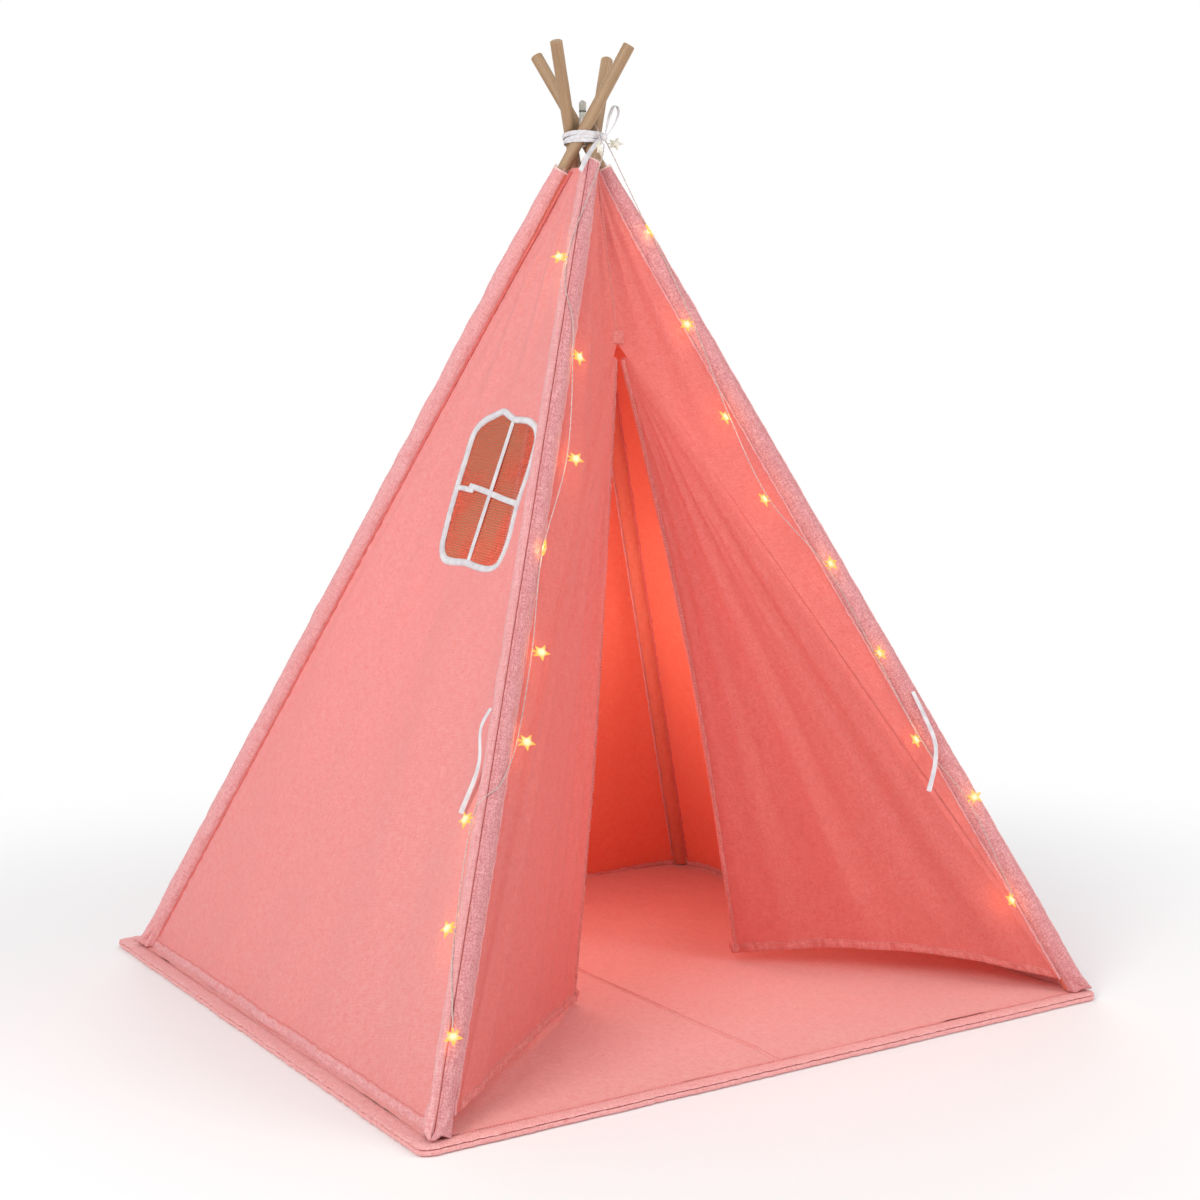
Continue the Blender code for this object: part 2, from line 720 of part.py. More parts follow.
def flap_surface(side, u, v):
    """A door flap held open: u from the fold line to the free edge, v from the slit's top down."""
    corner, bow, arch = flap_edges(side)
    high, low = hinge_line(side)
    share = FLAP_TOP_SHARE + (1 - FLAP_TOP_SHARE) * v
    hinge = high.lerp(low, share)
    edge = slit_top().lerp(corner, share) + Vector((bow * sin(pi * share), 0, 0))
    toward = (edge - hinge).normalized()
    point = (hinge + toward * SEAM_GAP).lerp(edge, u)
    normal = (low - high).cross(corner - high).normalized()
    if normal.y > 0:
        normal.negate()
    fade = min(1, 4 * u) * min(1, 4 * (1 - u))
    wave = FLAP_FOLD_DEPTH * sin(2 * pi * FLAP_FOLDS * u) * fade * share
    rise = arch * sin(pi * u) * share ** 6
    return point + normal * wave + Vector((0, 0, rise))


def build_flap(side, holder):
    name = SIDE_WORD[side]
    width = (flap_surface(side, 1, 1) - flap_surface(side, 0, 1)).length
    edge_end = 1 - BINDING_GAP / width
    solid = cloth_solid(lambda u, v: flap_surface(side, u * edge_end, v), FLAP_COLUMNS, FLAP_ROWS)
    add_piece(f"door_flap_{name}", *solid, cotton(), holder)
    near_edge, nearby = 0.97, 0.02
    rings = []
    for index in range(BINDING_STEPS + 1):
        v = BINDING_START + (BINDING_END - BINDING_START) * index / BINDING_STEPS
        edge = flap_surface(side, 1, v)
        outward = (edge - flap_surface(side, near_edge, v)).normalized()
        above, below = flap_surface(side, 1, v - nearby), flap_surface(side, 1, min(v + nearby, 1))
        down = (below - above).normalized()
        across = down.cross(outward).normalized()
        near, far = edge + outward * GAP, edge + outward * (GAP + BINDING_THICKNESS)
        rings.append([near - across * BINDING_THICKNESS / 2, near + across * BINDING_THICKNESS / 2,
                      far + across * BINDING_THICKNESS / 2, far - across * BINDING_THICKNESS / 2])
    add_piece(f"flap_binding_{name}", *loft(rings), cotton(), holder)
    corner = flap_surface(side, 1, TOGGLE_SHARE)
    outward = (corner - flap_surface(side, near_edge, TOGGLE_SHARE)).normalized()
    centre = corner + outward * (TOGGLE_RADIUS + BINDING_THICKNESS + 2 * GAP)
    add_piece(f"flap_toggle_{name}", *ball(centre, TOGGLE_RADIUS), white_tape(), holder)


def ball(centre, radius, sides=10, rows=5):
    rings = []
    for row in range(1, rows):
        turn = pi * row / rows
        middle, ring_radius = centre + Vector((0, 0, radius * cos(turn))), radius * sin(turn)
        rings.append([middle + Vector((cos(2 * pi * i / sides), sin(2 * pi * i / sides), 0)) * ring_radius
                      for i in range(sides)])
    return loft(rings)


def smooth_route(controls, count):
    """Even points on a smooth curve through the control points."""
    controls = [Vector(point) for point in controls]
    ends = [controls[0] * 2 - controls[1]] + controls + [controls[-1] * 2 - controls[-2]]
    fine = []
    per_span = 24
    for index in range(1, len(ends) - 2):
        a, b, c, d = ends[index - 1:index + 3]
        for step in range(per_span):
            t = step / per_span
            fine.append(0.5 * ((2 * b) + (c - a) * t + (2 * a - 5 * b + 4 * c - d) * t * t
                               + (3 * b - a - 3 * c + d) * t ** 3))
    fine.append(controls[-1])
    lengths = [0.0]
    for before, after in zip(fine, fine[1:]):
        lengths.append(lengths[-1] + (after - before).length)
    route = []
    place = 0
    for index in range(count):
        goal = lengths[-1] * index / (count - 1)
        while place < len(lengths) - 2 and lengths[place + 1] < goal:
            place += 1
        span = lengths[place + 1] - lengths[place]
        route.append(fine[place].lerp(fine[place + 1], (goal - lengths[place]) / span))
    return route


def ribbon(controls, count, width, thickness, across_at):
    """A flat tape along a smooth route; across_at(run) gives the direction of its width."""
    route = smooth_route(controls, count)
    rings = []
    for index, point in enumerate(route):
        run = (route[min(index + 1, count - 1)] - route[max(index - 1, 0)]).normalized()
        side = across_at(run).normalized() * width / 2
        lift = side.cross(run).normalized() * thickness / 2
        rings.append([point - side - lift, point + side - lift, point + side + lift, point - side + lift])
    return loft(rings)


def build_mat(holder):
    def outline(inset):
        half_x, half_y = MAT_WIDTH / 2 - inset, MAT_DEPTH / 2 - inset
        corner = MAT_CORNER_RADIUS
        points = []
        for sx, sy, start in ((1, 1, 0), (-1, 1, 90), (-1, -1, 180), (1, -1, 270)):
            for turn in (0, 22.5, 45, 67.5, 90):
                angle = radians(start + turn)
                points.append((sx * (half_x - corner) + corner * cos(angle),
                               sy * (half_y - corner) + corner * sin(angle)))
        return points

    def slab(levels):
        return loft([[Vector((x, y, height)) for x, y in outline(inset)] for inset, height in levels])

    rounding = MAT_EDGE_ROUND
    base_top = MAT_BASE_THICKNESS
    base = slab(((rounding, 0), (rounding * 0.3, rounding * 0.3), (0, rounding), (0, base_top)))
    add_piece("mat_base", *base, cotton(), holder)
    low = MAT_BASE_THICKNESS + GAP
    levels = ((0.001, low), (0, low + MAT_PAD_THICKNESS - rounding),
              (rounding * 0.3, MAT_TOP - rounding * 0.3), (rounding, MAT_TOP),
              (MAT_STITCH_INSET - 0.004, MAT_TOP), (MAT_STITCH_INSET, MAT_TOP - MAT_STITCH_DIP),
              (MAT_STITCH_INSET + 0.004, MAT_TOP))
    pad = add_piece("mat_pad", *slab(levels), cotton(), holder)
    half_run = MAT_DEPTH / 2 - MAT_SEAM_END
    groove = loft([[Vector((MAT_SEAM_X + x * MAT_SEAM_WIDTH / 2, y, MAT_TOP + z))
                    for x, z in ((-1, 0.002), (1, 0.002), (0.3, -MAT_SEAM_DEPTH), (-0.3, -MAT_SEAM_DEPTH))]
                   for y in (-half_run, half_run)])
    cut_out(pad, add_piece("mat_seam_cutter", *groove, cotton(), holder))


def rounded_square(half, corner, height, segments=4):
    points = []
    for sx, sy, start in ((1, 1, 0), (-1, 1, 90), (-1, -1, 180), (1, -1, 270)):
        for index in range(segments + 1):
            angle = radians(start + 90 * index / segments)
            points.append(LASHING + Vector((sx * (half - corner) + corner * cos(angle),
                                            sy * (half - corner) + corner * sin(angle), height)))
    return points


def band_half():
    """Half the inner width of the ribbon turns, clear of all four poles as they lean and fold."""
    pole = POLES[RIGHT, BACK]
    lean = hypot(pole.direction.x, pole.direction.y)
    longer = POLE_RADIUS / pole.direction.z
    level_reach = hypot(longer, POLE_RADIUS) / 2 ** 0.5
    drift = (BAND_SPACING + BAND_HEIGHT) / 2 * lean / pole.direction.z / 2 ** 0.5
    return BUNDLE_RADIUS / 2 ** 0.5 + level_reach + drift + BAND_EASE


def build_lashing(holder):
    """Two turns of ribbon round the poles, a tie through their middle, and the bow."""
    half = band_half()
    for name, middle in (("lower", -BAND_SPACING / 2), ("upper", BAND_SPACING / 2)):
        rings = []
        for across, height in ((0, -1), (BAND_THICKNESS, -1), (BAND_THICKNESS, 1), (0, 1), (0, -1)):
            rings.append(rounded_square(half + across, BAND_CORNER + across,
                                        middle + height * BAND_HEIGHT / 2))
        count = 4 * len(rings[0])
        points, faces = loft(rings, cap_start=False, cap_end=False)
        faces = [tuple(index % count for index in face) for face in faces]
        add_piece(f"lashing_turn_{name}", points[:count], faces, white_tape(), holder)
    reach = half - GAP
    bend = BATTERY_RADIUS + GAP + BAND_THICKNESS / 2
    path = [Vector((0, -reach, 0)), Vector((-TIE_SWAY, -BUNDLE_RADIUS / 2 ** 0.5, 0)),
            Vector((0, -bend - 0.004, 0))]
    path += [Vector((-bend * sin(pi * i / 8), -bend * cos(pi * i / 8), 0)) * (1.12 if i in (0, 8) else 1)
             for i in range(9)]
    path += [Vector((0, bend + 0.004, 0)), Vector((0, reach, 0))]
    rings = []
    for index, point in enumerate(path):
        run = (path[min(index + 1, len(path) - 1)] - path[max(index - 1, 0)]).normalized()
        aside = Vector((run.y, -run.x, 0)) * BAND_THICKNESS / 2
        rise = Vector((0, 0, CROSS_TIE_HEIGHT / 2))
        rings.append([LASHING + point + corner for corner in (-aside - rise, aside - rise, aside + rise,
                                                             rise - aside)])
    add_piece("lashing_cross_tie", *loft(rings), white_tape(), holder)
    front = -(half + BAND_THICKNESS + GAP)
    size_x, size_y, size_z = KNOT_SIZE
    knot_rings = []
    for share_y, share in ((0, 0.8), (0.3, 1.0), (0.7, 1.0), (1, 0.7)):
        knot_rings.append([LASHING + Vector((KNOT_X + x * size_x / 2 * share, front - size_y * share_y,
                                             z * size_z / 2 * share))
                           for x, z in ((-1, -0.6), (-0.6, -1), (0.6, -1), (1, -0.6),
                                        (1, 0.6), (0.6, 1), (-0.6, 1), (-1, 0.6))])
    add_piece("bow_knot", *loft(knot_rings), white_tape(), holder)
    depth = front - size_y / 2
    edge_x, edge_z = size_x / 2 + GAP, size_z / 2 + GAP
    loop = ((KNOT_X + edge_x, depth, 0.002), (KNOT_X + 0.018, depth, 0.018), (KNOT_X + 0.028, depth, 0.038),
            (KNOT_X + 0.026, depth, 0.050), (KNOT_X + 0.018, depth, 0.048), (KNOT_X + 0.009, depth, 0.028),
            (KNOT_X + 0.003, depth, edge_z))
    loop_path = [LASHING + Vector(point) for point in loop]
    add_piece("bow_loop", *ribbon(loop_path, 22, KNOT_SIZE[1] * 0.8, RIBBON_THICKNESS,
                                  lambda run: Vector((0, 1, 0))),
              white_tape(), holder)
    tail = ((KNOT_X - edge_x, depth, -0.004), (-0.008, depth - 0.007, -0.022),
            (-0.028, depth - 0.015, -0.045), (-0.038, depth - 0.019, -0.060))
    tail_path = [LASHING + Vector(point) for point in tail]
    add_piece("bow_tail", *ribbon(tail_path, 10, RIBBON_WIDTH, RIBBON_THICKNESS,
                                  lambda run: run.cross(Vector((0, -1, 0.1)))),
              white_tape(), holder)


def build_ties(left_holder, right_holder):
    """The ribbon on each front sleeve that ties its flap back, hanging loose."""
    left = POLES[LEFT, FRONT]
    right = POLES[RIGHT, FRONT]

    def beside(pole, places):
        return [pole.at_depth(depth) + Vector((x, y, 0)) for depth, x, y in places]

    left_path = beside(left, LEFT_TIE)
    right_path = beside(right, RIGHT_TIE)
    add_piece("tie_ribbon_left", *ribbon(left_path, 10, RIBBON_WIDTH, RIBBON_THICKNESS,
                                         lambda run: run.cross(Vector((1, 0, 0)))),
              white_tape(), left_holder)
    add_piece("tie_ribbon_right", *ribbon(right_path, 10, RIBBON_WIDTH, RIBBON_THICKNESS,
                                          lambda run: run.cross(Vector((0, -1, 0)))),
              white_tape(), right_holder)


def star_solid(pole, wire_point, angle):
    """A five-pointed star on a short stem from the wire, facing away from the pole."""
    up = pole.direction
    outward = wire_point - pole.crossing - up * (wire_point - pole.crossing).dot(up)
    if outward.length > STAR_FACING_REACH:
        outward = Vector((0, -1, 0))
    outward = (outward - up * outward.dot(up)).normalized()
    right = up.cross(outward)
    flat_stem = right * cos(radians(angle)) + up * sin(radians(angle))
    across = outward.cross(flat_stem)
    stem = flat_stem * cos(STAR_TILT) + outward * sin(STAR_TILT)
    face = stem.cross(across)
    start = -STAR_NOTCH - STEM_LENGTH
    places = [(-STAR_NOTCH, STEM_HALF), (start, STEM_HALF), (start, -STEM_HALF), (-STAR_NOTCH, -STEM_HALF)]
    for index in range(1, 2 * STAR_POINTS):
        bearing = pi + pi * index / STAR_POINTS
        radius = STAR_RADIUS if index % 2 else STAR_NOTCH
        places.append((radius * cos(bearing), radius * sin(bearing)))
    centre = wire_point - stem * start
    count = len(places)
    points = [centre + stem * along + across * aside + face * (sign * STAR_RIM / 2)
              for sign in (1, -1) for along, aside in places]
    points += [centre + face * STAR_THICKNESS / 2, centre - face * STAR_THICKNESS / 2]
    top, bottom = 2 * count, 2 * count + 1
    faces = [(0, 1, 2, 3), (count + 3, count + 2, count + 1, count), (3, 0, top), (count, count + 3, bottom)]
    for index in range(count):
        following = (index + 1) % count
        faces.append((index, following, count + following, count + index))
        if index > 2:
            faces.append((following, index, top))
            faces.append((count + index, count + following, bottom))
    return points, faces


def on_sleeve(pole, point):
    """The point itself, or where it would pierce the sleeve, the place over it on the sleeve."""
    depth = LASHING.z - point.z
    if depth < 0:
        return point
    nearest = pole.crossing + pole.direction * (point - pole.crossing).dot(pole.direction)
    away = point - nearest
    clear = sleeve_radius(depth + SLEEVE_RADIUS / 2) + WIRE_RADIUS + WIRE_LIFT
    return point if away.length >= clear else nearest + away.normalized() * clear


def build_lights(pole, stars, lead, holder):
    """One string: its wire down the pole's front, and its stars as one group."""
    places = [pole.at_depth(depth) + Vector((x, y, 0)) for depth, x, y, _ in stars]
    route = smooth_route([LASHING + Vector(point) for point in lead] + places, WIRE_POINTS)
    route = [on_sleeve(pole, point) for point in route]
    rings = []
    for index, point in enumerate(route):
        run = (route[min(index + 1, len(route) - 1)] - route[max(index - 1, 0)]).normalized()
        rings.append(ring_points(point, run, WIRE_RADIUS, WIRE_SIDES))
    wire = add_piece(f"light_string_{SIDE_WORD[pole.side]}", *loft(rings), wire_jacket(), holder)
    solids = []
    for (_, _, _, angle), place in zip(stars, places):
        if angle is None:
            continue
        nearest = min(route, key=lambda point: (point - place).length)
        index = route.index(nearest)
        best = place
        for other in (index - 1, index + 1):
            if 0 <= other < len(route):
                run = route[other] - nearest
                share = min(max((place - nearest).dot(run) / run.length_squared, 0), 1)
                foot = nearest + run * share
                if (foot - place).length < (best - place).length or best is place:
                    best = foot
        solids.append(star_solid(pole, best, angle))
    fuse(wire, add_piece(f"star_guide_{SIDE_WORD[pole.side]}", *joined(*solids), warm_light(), holder))


def build_battery(holder, button_holder):
    """The slim battery tube in the middle of the bundle, its cap, its cells and its push button."""
    up = Vector((0, 0, 1))
    bottom = LASHING - up * BATTERY_BELOW
    height = BATTERY_BELOW + BATTERY_ABOVE
    inner = BATTERY_RADIUS - BATTERY_WALL
    tube = cup(bottom, up, ((0, BATTERY_RADIUS), (height, BATTERY_RADIUS), (height, inner),
                            (BATTERY_WALL, inner)))
    add_piece("battery_tube", *tube, clear_plastic(), holder)
    profile = []
    for index in range(CELL_COUNT):
        low = BATTERY_WALL + GAP + index * CELL_HEIGHT
        profile += [(low, CELL_STEP), (low + CELL_EDGE, CELL_STEP), (low + CELL_EDGE, CELL_RADIUS),
                    (low + CELL_HEIGHT, CELL_RADIUS)]
    add_piece("button_cells", *cup(bottom, up, profile), steel(), holder)
    base = LASHING + up * (BATTERY_ABOVE + GAP)
    bore = BUTTON_RADIUS + BUTTON_CLEARANCE
    roof = BATTERY_CAP_HEIGHT - BATTERY_CAP_WALL
    profile = ((0, inner), (0, BATTERY_CAP_RADIUS), (BATTERY_CAP_HEIGHT, BATTERY_CAP_RADIUS),
               (BATTERY_CAP_HEIGHT, bore), (roof, bore), (roof, inner))
    add_piece("battery_cap", *turned(base, up, profile), clear_plastic(), holder)
    top = BATTERY_CAP_HEIGHT + BUTTON_PROUD
    flange = roof - GAP
    profile = ((flange - BUTTON_FLANGE, inner - 2 * GAP), (flange, inner - 2 * GAP),
               (flange, BUTTON_RADIUS), (top, BUTTON_RADIUS))
    add_piece("battery_button", *cup(base, up, profile), clear_plastic(), button_holder)


def build_frame_side(side, holder):
    for end in (FRONT, BACK):
        build_pole(POLES[side, end], holder)
        build_sleeve(POLES[side, end], holder)
    build_side_wall(side, holder)
    build_back_half(side, holder)
    build_front_panel(side, holder)


def main():
    clear_scene()
    mat = add_holder("mat_holder", Vector((0, 0, 0)))
    apex = add_holder("lashing_holder", LASHING)
    left = add_holder("left_frame_axis", LASHING)
    right = add_holder("right_frame_axis", LASHING)
    left_door = add_holder("left_door_axis", hinge_line(LEFT)[0])
    right_door = add_holder("right_door_axis", hinge_line(RIGHT)[0])
    button = add_holder("button_axis", LASHING + Vector((0, 0, BATTERY_ABOVE)))
    build_mat(mat)
    build_frame_side(LEFT, left)
    build_frame_side(RIGHT, right)
    build_slit_patch(left)
    build_flap(LEFT, left_door)
    build_flap(RIGHT, right_door)
    build_lashing(apex)
    build_ties(left, right)
    build_lights(POLES[LEFT, FRONT], LEFT_STARS, LEFT_LEAD, left)
    build_lights(POLES[RIGHT, FRONT], RIGHT_STARS, RIGHT_LEAD, right)
    build_battery(apex, button)


main()
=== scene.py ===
"""The play tent's looks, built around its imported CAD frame.

Metres, +Z up, in the frame's own coordinates. The shapes follow the CAD part's lines, and the
numbers that both need are repeated here.
"""

from math import atan2, cos, exp, hypot, pi, radians, sin

import bpy
import numpy as np
from mathutils import Matrix, Vector


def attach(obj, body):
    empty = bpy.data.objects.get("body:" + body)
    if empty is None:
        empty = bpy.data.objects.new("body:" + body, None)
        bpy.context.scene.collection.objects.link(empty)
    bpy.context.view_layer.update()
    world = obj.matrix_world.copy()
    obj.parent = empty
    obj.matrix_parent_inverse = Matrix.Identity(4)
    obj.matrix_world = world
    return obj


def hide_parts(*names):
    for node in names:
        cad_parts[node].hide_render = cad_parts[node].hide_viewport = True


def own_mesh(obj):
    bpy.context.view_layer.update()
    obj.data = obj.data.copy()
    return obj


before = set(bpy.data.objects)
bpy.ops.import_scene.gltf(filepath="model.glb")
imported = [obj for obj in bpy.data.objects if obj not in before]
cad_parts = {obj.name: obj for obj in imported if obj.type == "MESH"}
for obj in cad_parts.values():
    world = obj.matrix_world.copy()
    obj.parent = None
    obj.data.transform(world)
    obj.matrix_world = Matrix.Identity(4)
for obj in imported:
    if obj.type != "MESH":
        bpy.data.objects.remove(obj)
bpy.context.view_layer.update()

LEFT, RIGHT, FRONT, BACK = -1, 1, -1, 1
SIDES = (LEFT, RIGHT)
SIDE_WORD = {LEFT: "left", RIGHT: "right"}
END_WORD = {FRONT: "front", BACK: "back"}
Z = Vector((0, 0, 1))

# Numbers repeated from the CAD part
GAP = 0.0003
CLOTH = 0.0012
MAT_HALF, MAT_TOP, MAT_CORNER = 0.60, 0.0123, 0.020
TENT_X, TENT_Y = 0.008, -0.023
FOOT_X, FOOT_Y = 0.568, 0.545
LASHING_HEIGHT = 1.363
BUNDLE_RADIUS = 0.0195
POLE_RADIUS, POLE_LENGTH = 0.010, 1.725
FOOT_CAP_RADIUS, FOOT_CAP_FLOOR = 0.0128, 0.004
SLEEVE_RADIUS, SLEEVE_TOP_RADIUS = 0.018, 0.0118
SLEEVE_TOP_DEPTH, SLEEVE_FLARE = 0.019, 0.045
WALL_TOP_DEPTH = 0.034
HEM_GAP = 0.022
WALL_SLACK = 0.009
SLIT_DEPTH, SLIT_SAG, SLIT_HALF = 0.332, 0.052, 0.0008
FLAP_TOP_SHARE = 0.022
FLAP_FOOT_CLEARANCE = 0.006
FLAP_FOLD_DEPTH, FLAP_FOLDS = 0.0035, 2.5
PATCH_WIDTH, PATCH_HEIGHT = 0.026, 0.020
CORNERS = {LEFT: (-0.137, -0.172, 0.005, 0.008, 0.004), RIGHT: (0.216, -0.116, 0.015, 0.020, 0.026)}
WINDOW_SLOPE, WINDOW_ACROSS = 0.602, -0.094
WINDOW_LEAN, WINDOW_TILT = 0.14, 0.08
WINDOW_TAPE = 0.013
KNOT_X = 0.0185
BAND_HALF = 0.0295
WIRE_RADIUS, WIRE_LIFT = 0.0008, 0.0012
STAR_RADIUS, STAR_NOTCH = 0.0135, 0.0062
STAR_TILT = radians(25)
STAR_FACING_REACH = 0.022
STEM_LENGTH = 0.0075
# each star: how deep under the lashing, its place beside the pole's line, and its stem's angle
STARS = {
    LEFT: ((0.037, 0.0020, -0.0300, 180), (0.208, -0.0183, -0.0088, 180),
           (0.353, 0.0108, -0.0172, 0), (0.509, 0.0343, -0.0090, -10),
           (0.649, 0.0136, -0.0151, 185), (0.784, 0.0252, -0.0090, 0),
           (0.899, 0.0236, -0.0090, -5), (0.950, 0.0020, -0.0205, None),
           (0.999, -0.0201, 0.0026, 190), (1.124, -0.0203, 0.0003, 190),
           (1.239, -0.0115, -0.0167, -75)),
    RIGHT: ((0.006, 0.0225, -0.0240, -35), (0.149, 0.0091, -0.0182, 180),
            (0.294, -0.0080, -0.0187, 180), (0.444, -0.0365, -0.0090, 185),
            (0.580, -0.0537, -0.0090, 185), (0.695, -0.0175, -0.0102, 0),
            (0.826, -0.0191, -0.0068, 0), (0.964, -0.0315, -0.0120, 185),
            (1.066, -0.0114, -0.0168, 10), (1.207, -0.0300, -0.0160, 195))}
LEADS = {
    LEFT: ((0.0042, -0.0060, 0.019), (0.0085, -0.0150, 0.022), (0.0088, -0.0285, 0.0178),
           (0.0075, -0.0355, 0.006), (0.0080, -0.0400, -0.010)),
    RIGHT: ((0.0066, 0.0030, 0.021), (0.0150, 0.0065, 0.023), (0.0285, 0.0080, 0.0180),
            (0.0355, 0.0050, 0.007))}
TIES = {
    LEFT: ((0.857, -0.0198, 0.0038), (0.885, -0.0235, 0.016), (0.935, -0.0130, 0.024),
           (0.999, -0.0090, 0.058)),
    RIGHT: ((0.889, 0.0018, -0.0203), (0.925, -0.0060, -0.0240), (0.965, -0.0150, -0.0250),
            (1.000, -0.0400, -0.0230), (1.040, -0.0750, -0.0130))}
LASHING = Vector((TENT_X, TENT_Y, MAT_TOP + LASHING_HEIGHT))
HEM_DEPTH = LASHING_HEIGHT - HEM_GAP
WALL_LENGTH = hypot(FOOT_X, LASHING_HEIGHT)

# How far under the lashing the photograph shows each sleeve's raw edge, and the panels' top edges
SLEEVE_EDGES = {(LEFT, FRONT): 0.043, (LEFT, BACK): 0.052, (RIGHT, FRONT): 0.049, (RIGHT, BACK): 0.038}
PANEL_EDGE = 0.049


def sleeve_radius(depth):
    return min(SLEEVE_RADIUS, SLEEVE_TOP_RADIUS + SLEEVE_FLARE * (depth - SLEEVE_TOP_DEPTH))


class Pole:
    """One pole's line, from its foot on the mat past the lashing to its tip."""

    def __init__(self, side, end):
        self.side, self.end = side, end
        self.name = f"{END_WORD[end]}_{SIDE_WORD[side]}"
        self.body = f"{SIDE_WORD[side]}_frame"
        azimuth = atan2(end * FOOT_Y, side * FOOT_X) + pi / 2
        self.crossing = LASHING + Vector((cos(azimuth), sin(azimuth), 0)) * BUNDLE_RADIUS
        ground = Vector((TENT_X + side * FOOT_X, TENT_Y + end * FOOT_Y, MAT_TOP))
        lean = (self.crossing - ground).normalized()
        drop = FOOT_CAP_RADIUS * hypot(lean.x, lean.y)
        self.foot = ground + Z * (2 * GAP + CLOTH + drop)
        self.direction = (self.crossing - self.foot).normalized()

    def at_depth(self, depth):
        return self.crossing - self.direction * (depth / self.direction.z)

    def side_reach(self, depth, toward):
        lean = toward.dot(self.direction)
        radius = sleeve_radius(depth + SLEEVE_RADIUS * abs(lean))
        return (radius + GAP) / (1 - lean * lean) ** 0.5

    def around(self):
        """The outward direction and the one beside it, both square to the pole."""
        outward = Vector((self.side * FOOT_X, self.end * FOOT_Y, 0)).normalized()
        outward = (outward - self.direction * outward.dot(self.direction)).normalized()
        return outward, self.direction.cross(outward)


POLES = {(side, end): Pole(side, end) for side in SIDES for end in (FRONT, BACK)}


class Ripple:
    """Smooth seeded unevenness between about -1 and 1 with waves near one length."""

    def __init__(self, seed, wave, count=7):
        draw = np.random.default_rng(seed)
        turn, phase = draw.uniform(0, 2 * pi, count), draw.uniform(0, 2 * pi, count)
        length = wave * draw.uniform(0.7, 1.5, count)
        self.terms = [(2 * pi * cos(t) / l, 2 * pi * sin(t) / l, p)
                      for t, l, p in zip(turn, length, phase)]
        self.scale = 1 / (1.4 * count ** 0.5)

    def __call__(self, x, y=0.0):
        return sum(np.sin(x * a + y * b + p) for a, b, p in self.terms) * self.scale


# Camera and lamps

CAMERA_PLACE = Vector((-1.5946, -2.5943, 0.8760))
CAMERA_YAW, CAMERA_PITCH, CAMERA_ROLL = radians(-32.3495), radians(4.690), radians(-0.4457)
CAMERA_LENS = 55.284


def linked(name, data):
    item = bpy.data.objects.new(name, data)
    bpy.context.scene.collection.objects.link(item)
    return item


def add_camera():
    back = Vector((sin(CAMERA_YAW) * cos(CAMERA_PITCH), -cos(CAMERA_YAW) * cos(CAMERA_PITCH),
                   sin(CAMERA_PITCH)))
    level = (-back).cross(Z).normalized()
    up = level.cross(-back).normalized()
    right = level * cos(CAMERA_ROLL) + up * sin(CAMERA_ROLL)
    up = back.cross(right).normalized()
    data = bpy.data.cameras.new("camera")
    data.sensor_width, data.lens, data.clip_end = 36, CAMERA_LENS, 60
    camera = linked("camera", data)
    turned = Matrix((right, up, back)).transposed().to_4x4()
    camera.matrix_world = Matrix.Translation(CAMERA_PLACE) @ turned
    bpy.context.scene.camera = camera


def add_lamp(name, place, power, colour, size, target=None):
    """A soft square lamp that faces its target, or without one a soft point."""
    data = bpy.data.lights.new(name, "AREA" if target else "POINT")
    data.energy, data.color = power, colour
    lamp = linked(name, data)
    lamp.location = place
    if target:
        data.shape, data.size = "SQUARE", size
        facing = Vector(target) - Vector(place)
        lamp.rotation_euler = facing.to_track_quat("-Z", "Y").to_euler()
    else:
        data.shadow_soft_size = size
    return lamp


# Materials

WAVE_SCALE = 0.318          # a wave texture at this scale repeats once in each unit
WEAVE_PITCH, NET_PITCH, RIB_PITCH = 0.0010, 0.0042, 0.0009
SLUB_WIDTH, SLUB_LENGTH = 0.0016, 0.020


def linear(colour):
    """A colour as it looks, from 0 to 255, as shader values."""
    return tuple((c / 255 / 12.92) if c <= 10 else ((c / 255 + 0.055) / 1.055) ** 2.4
                 for c in colour) + (1.0,)


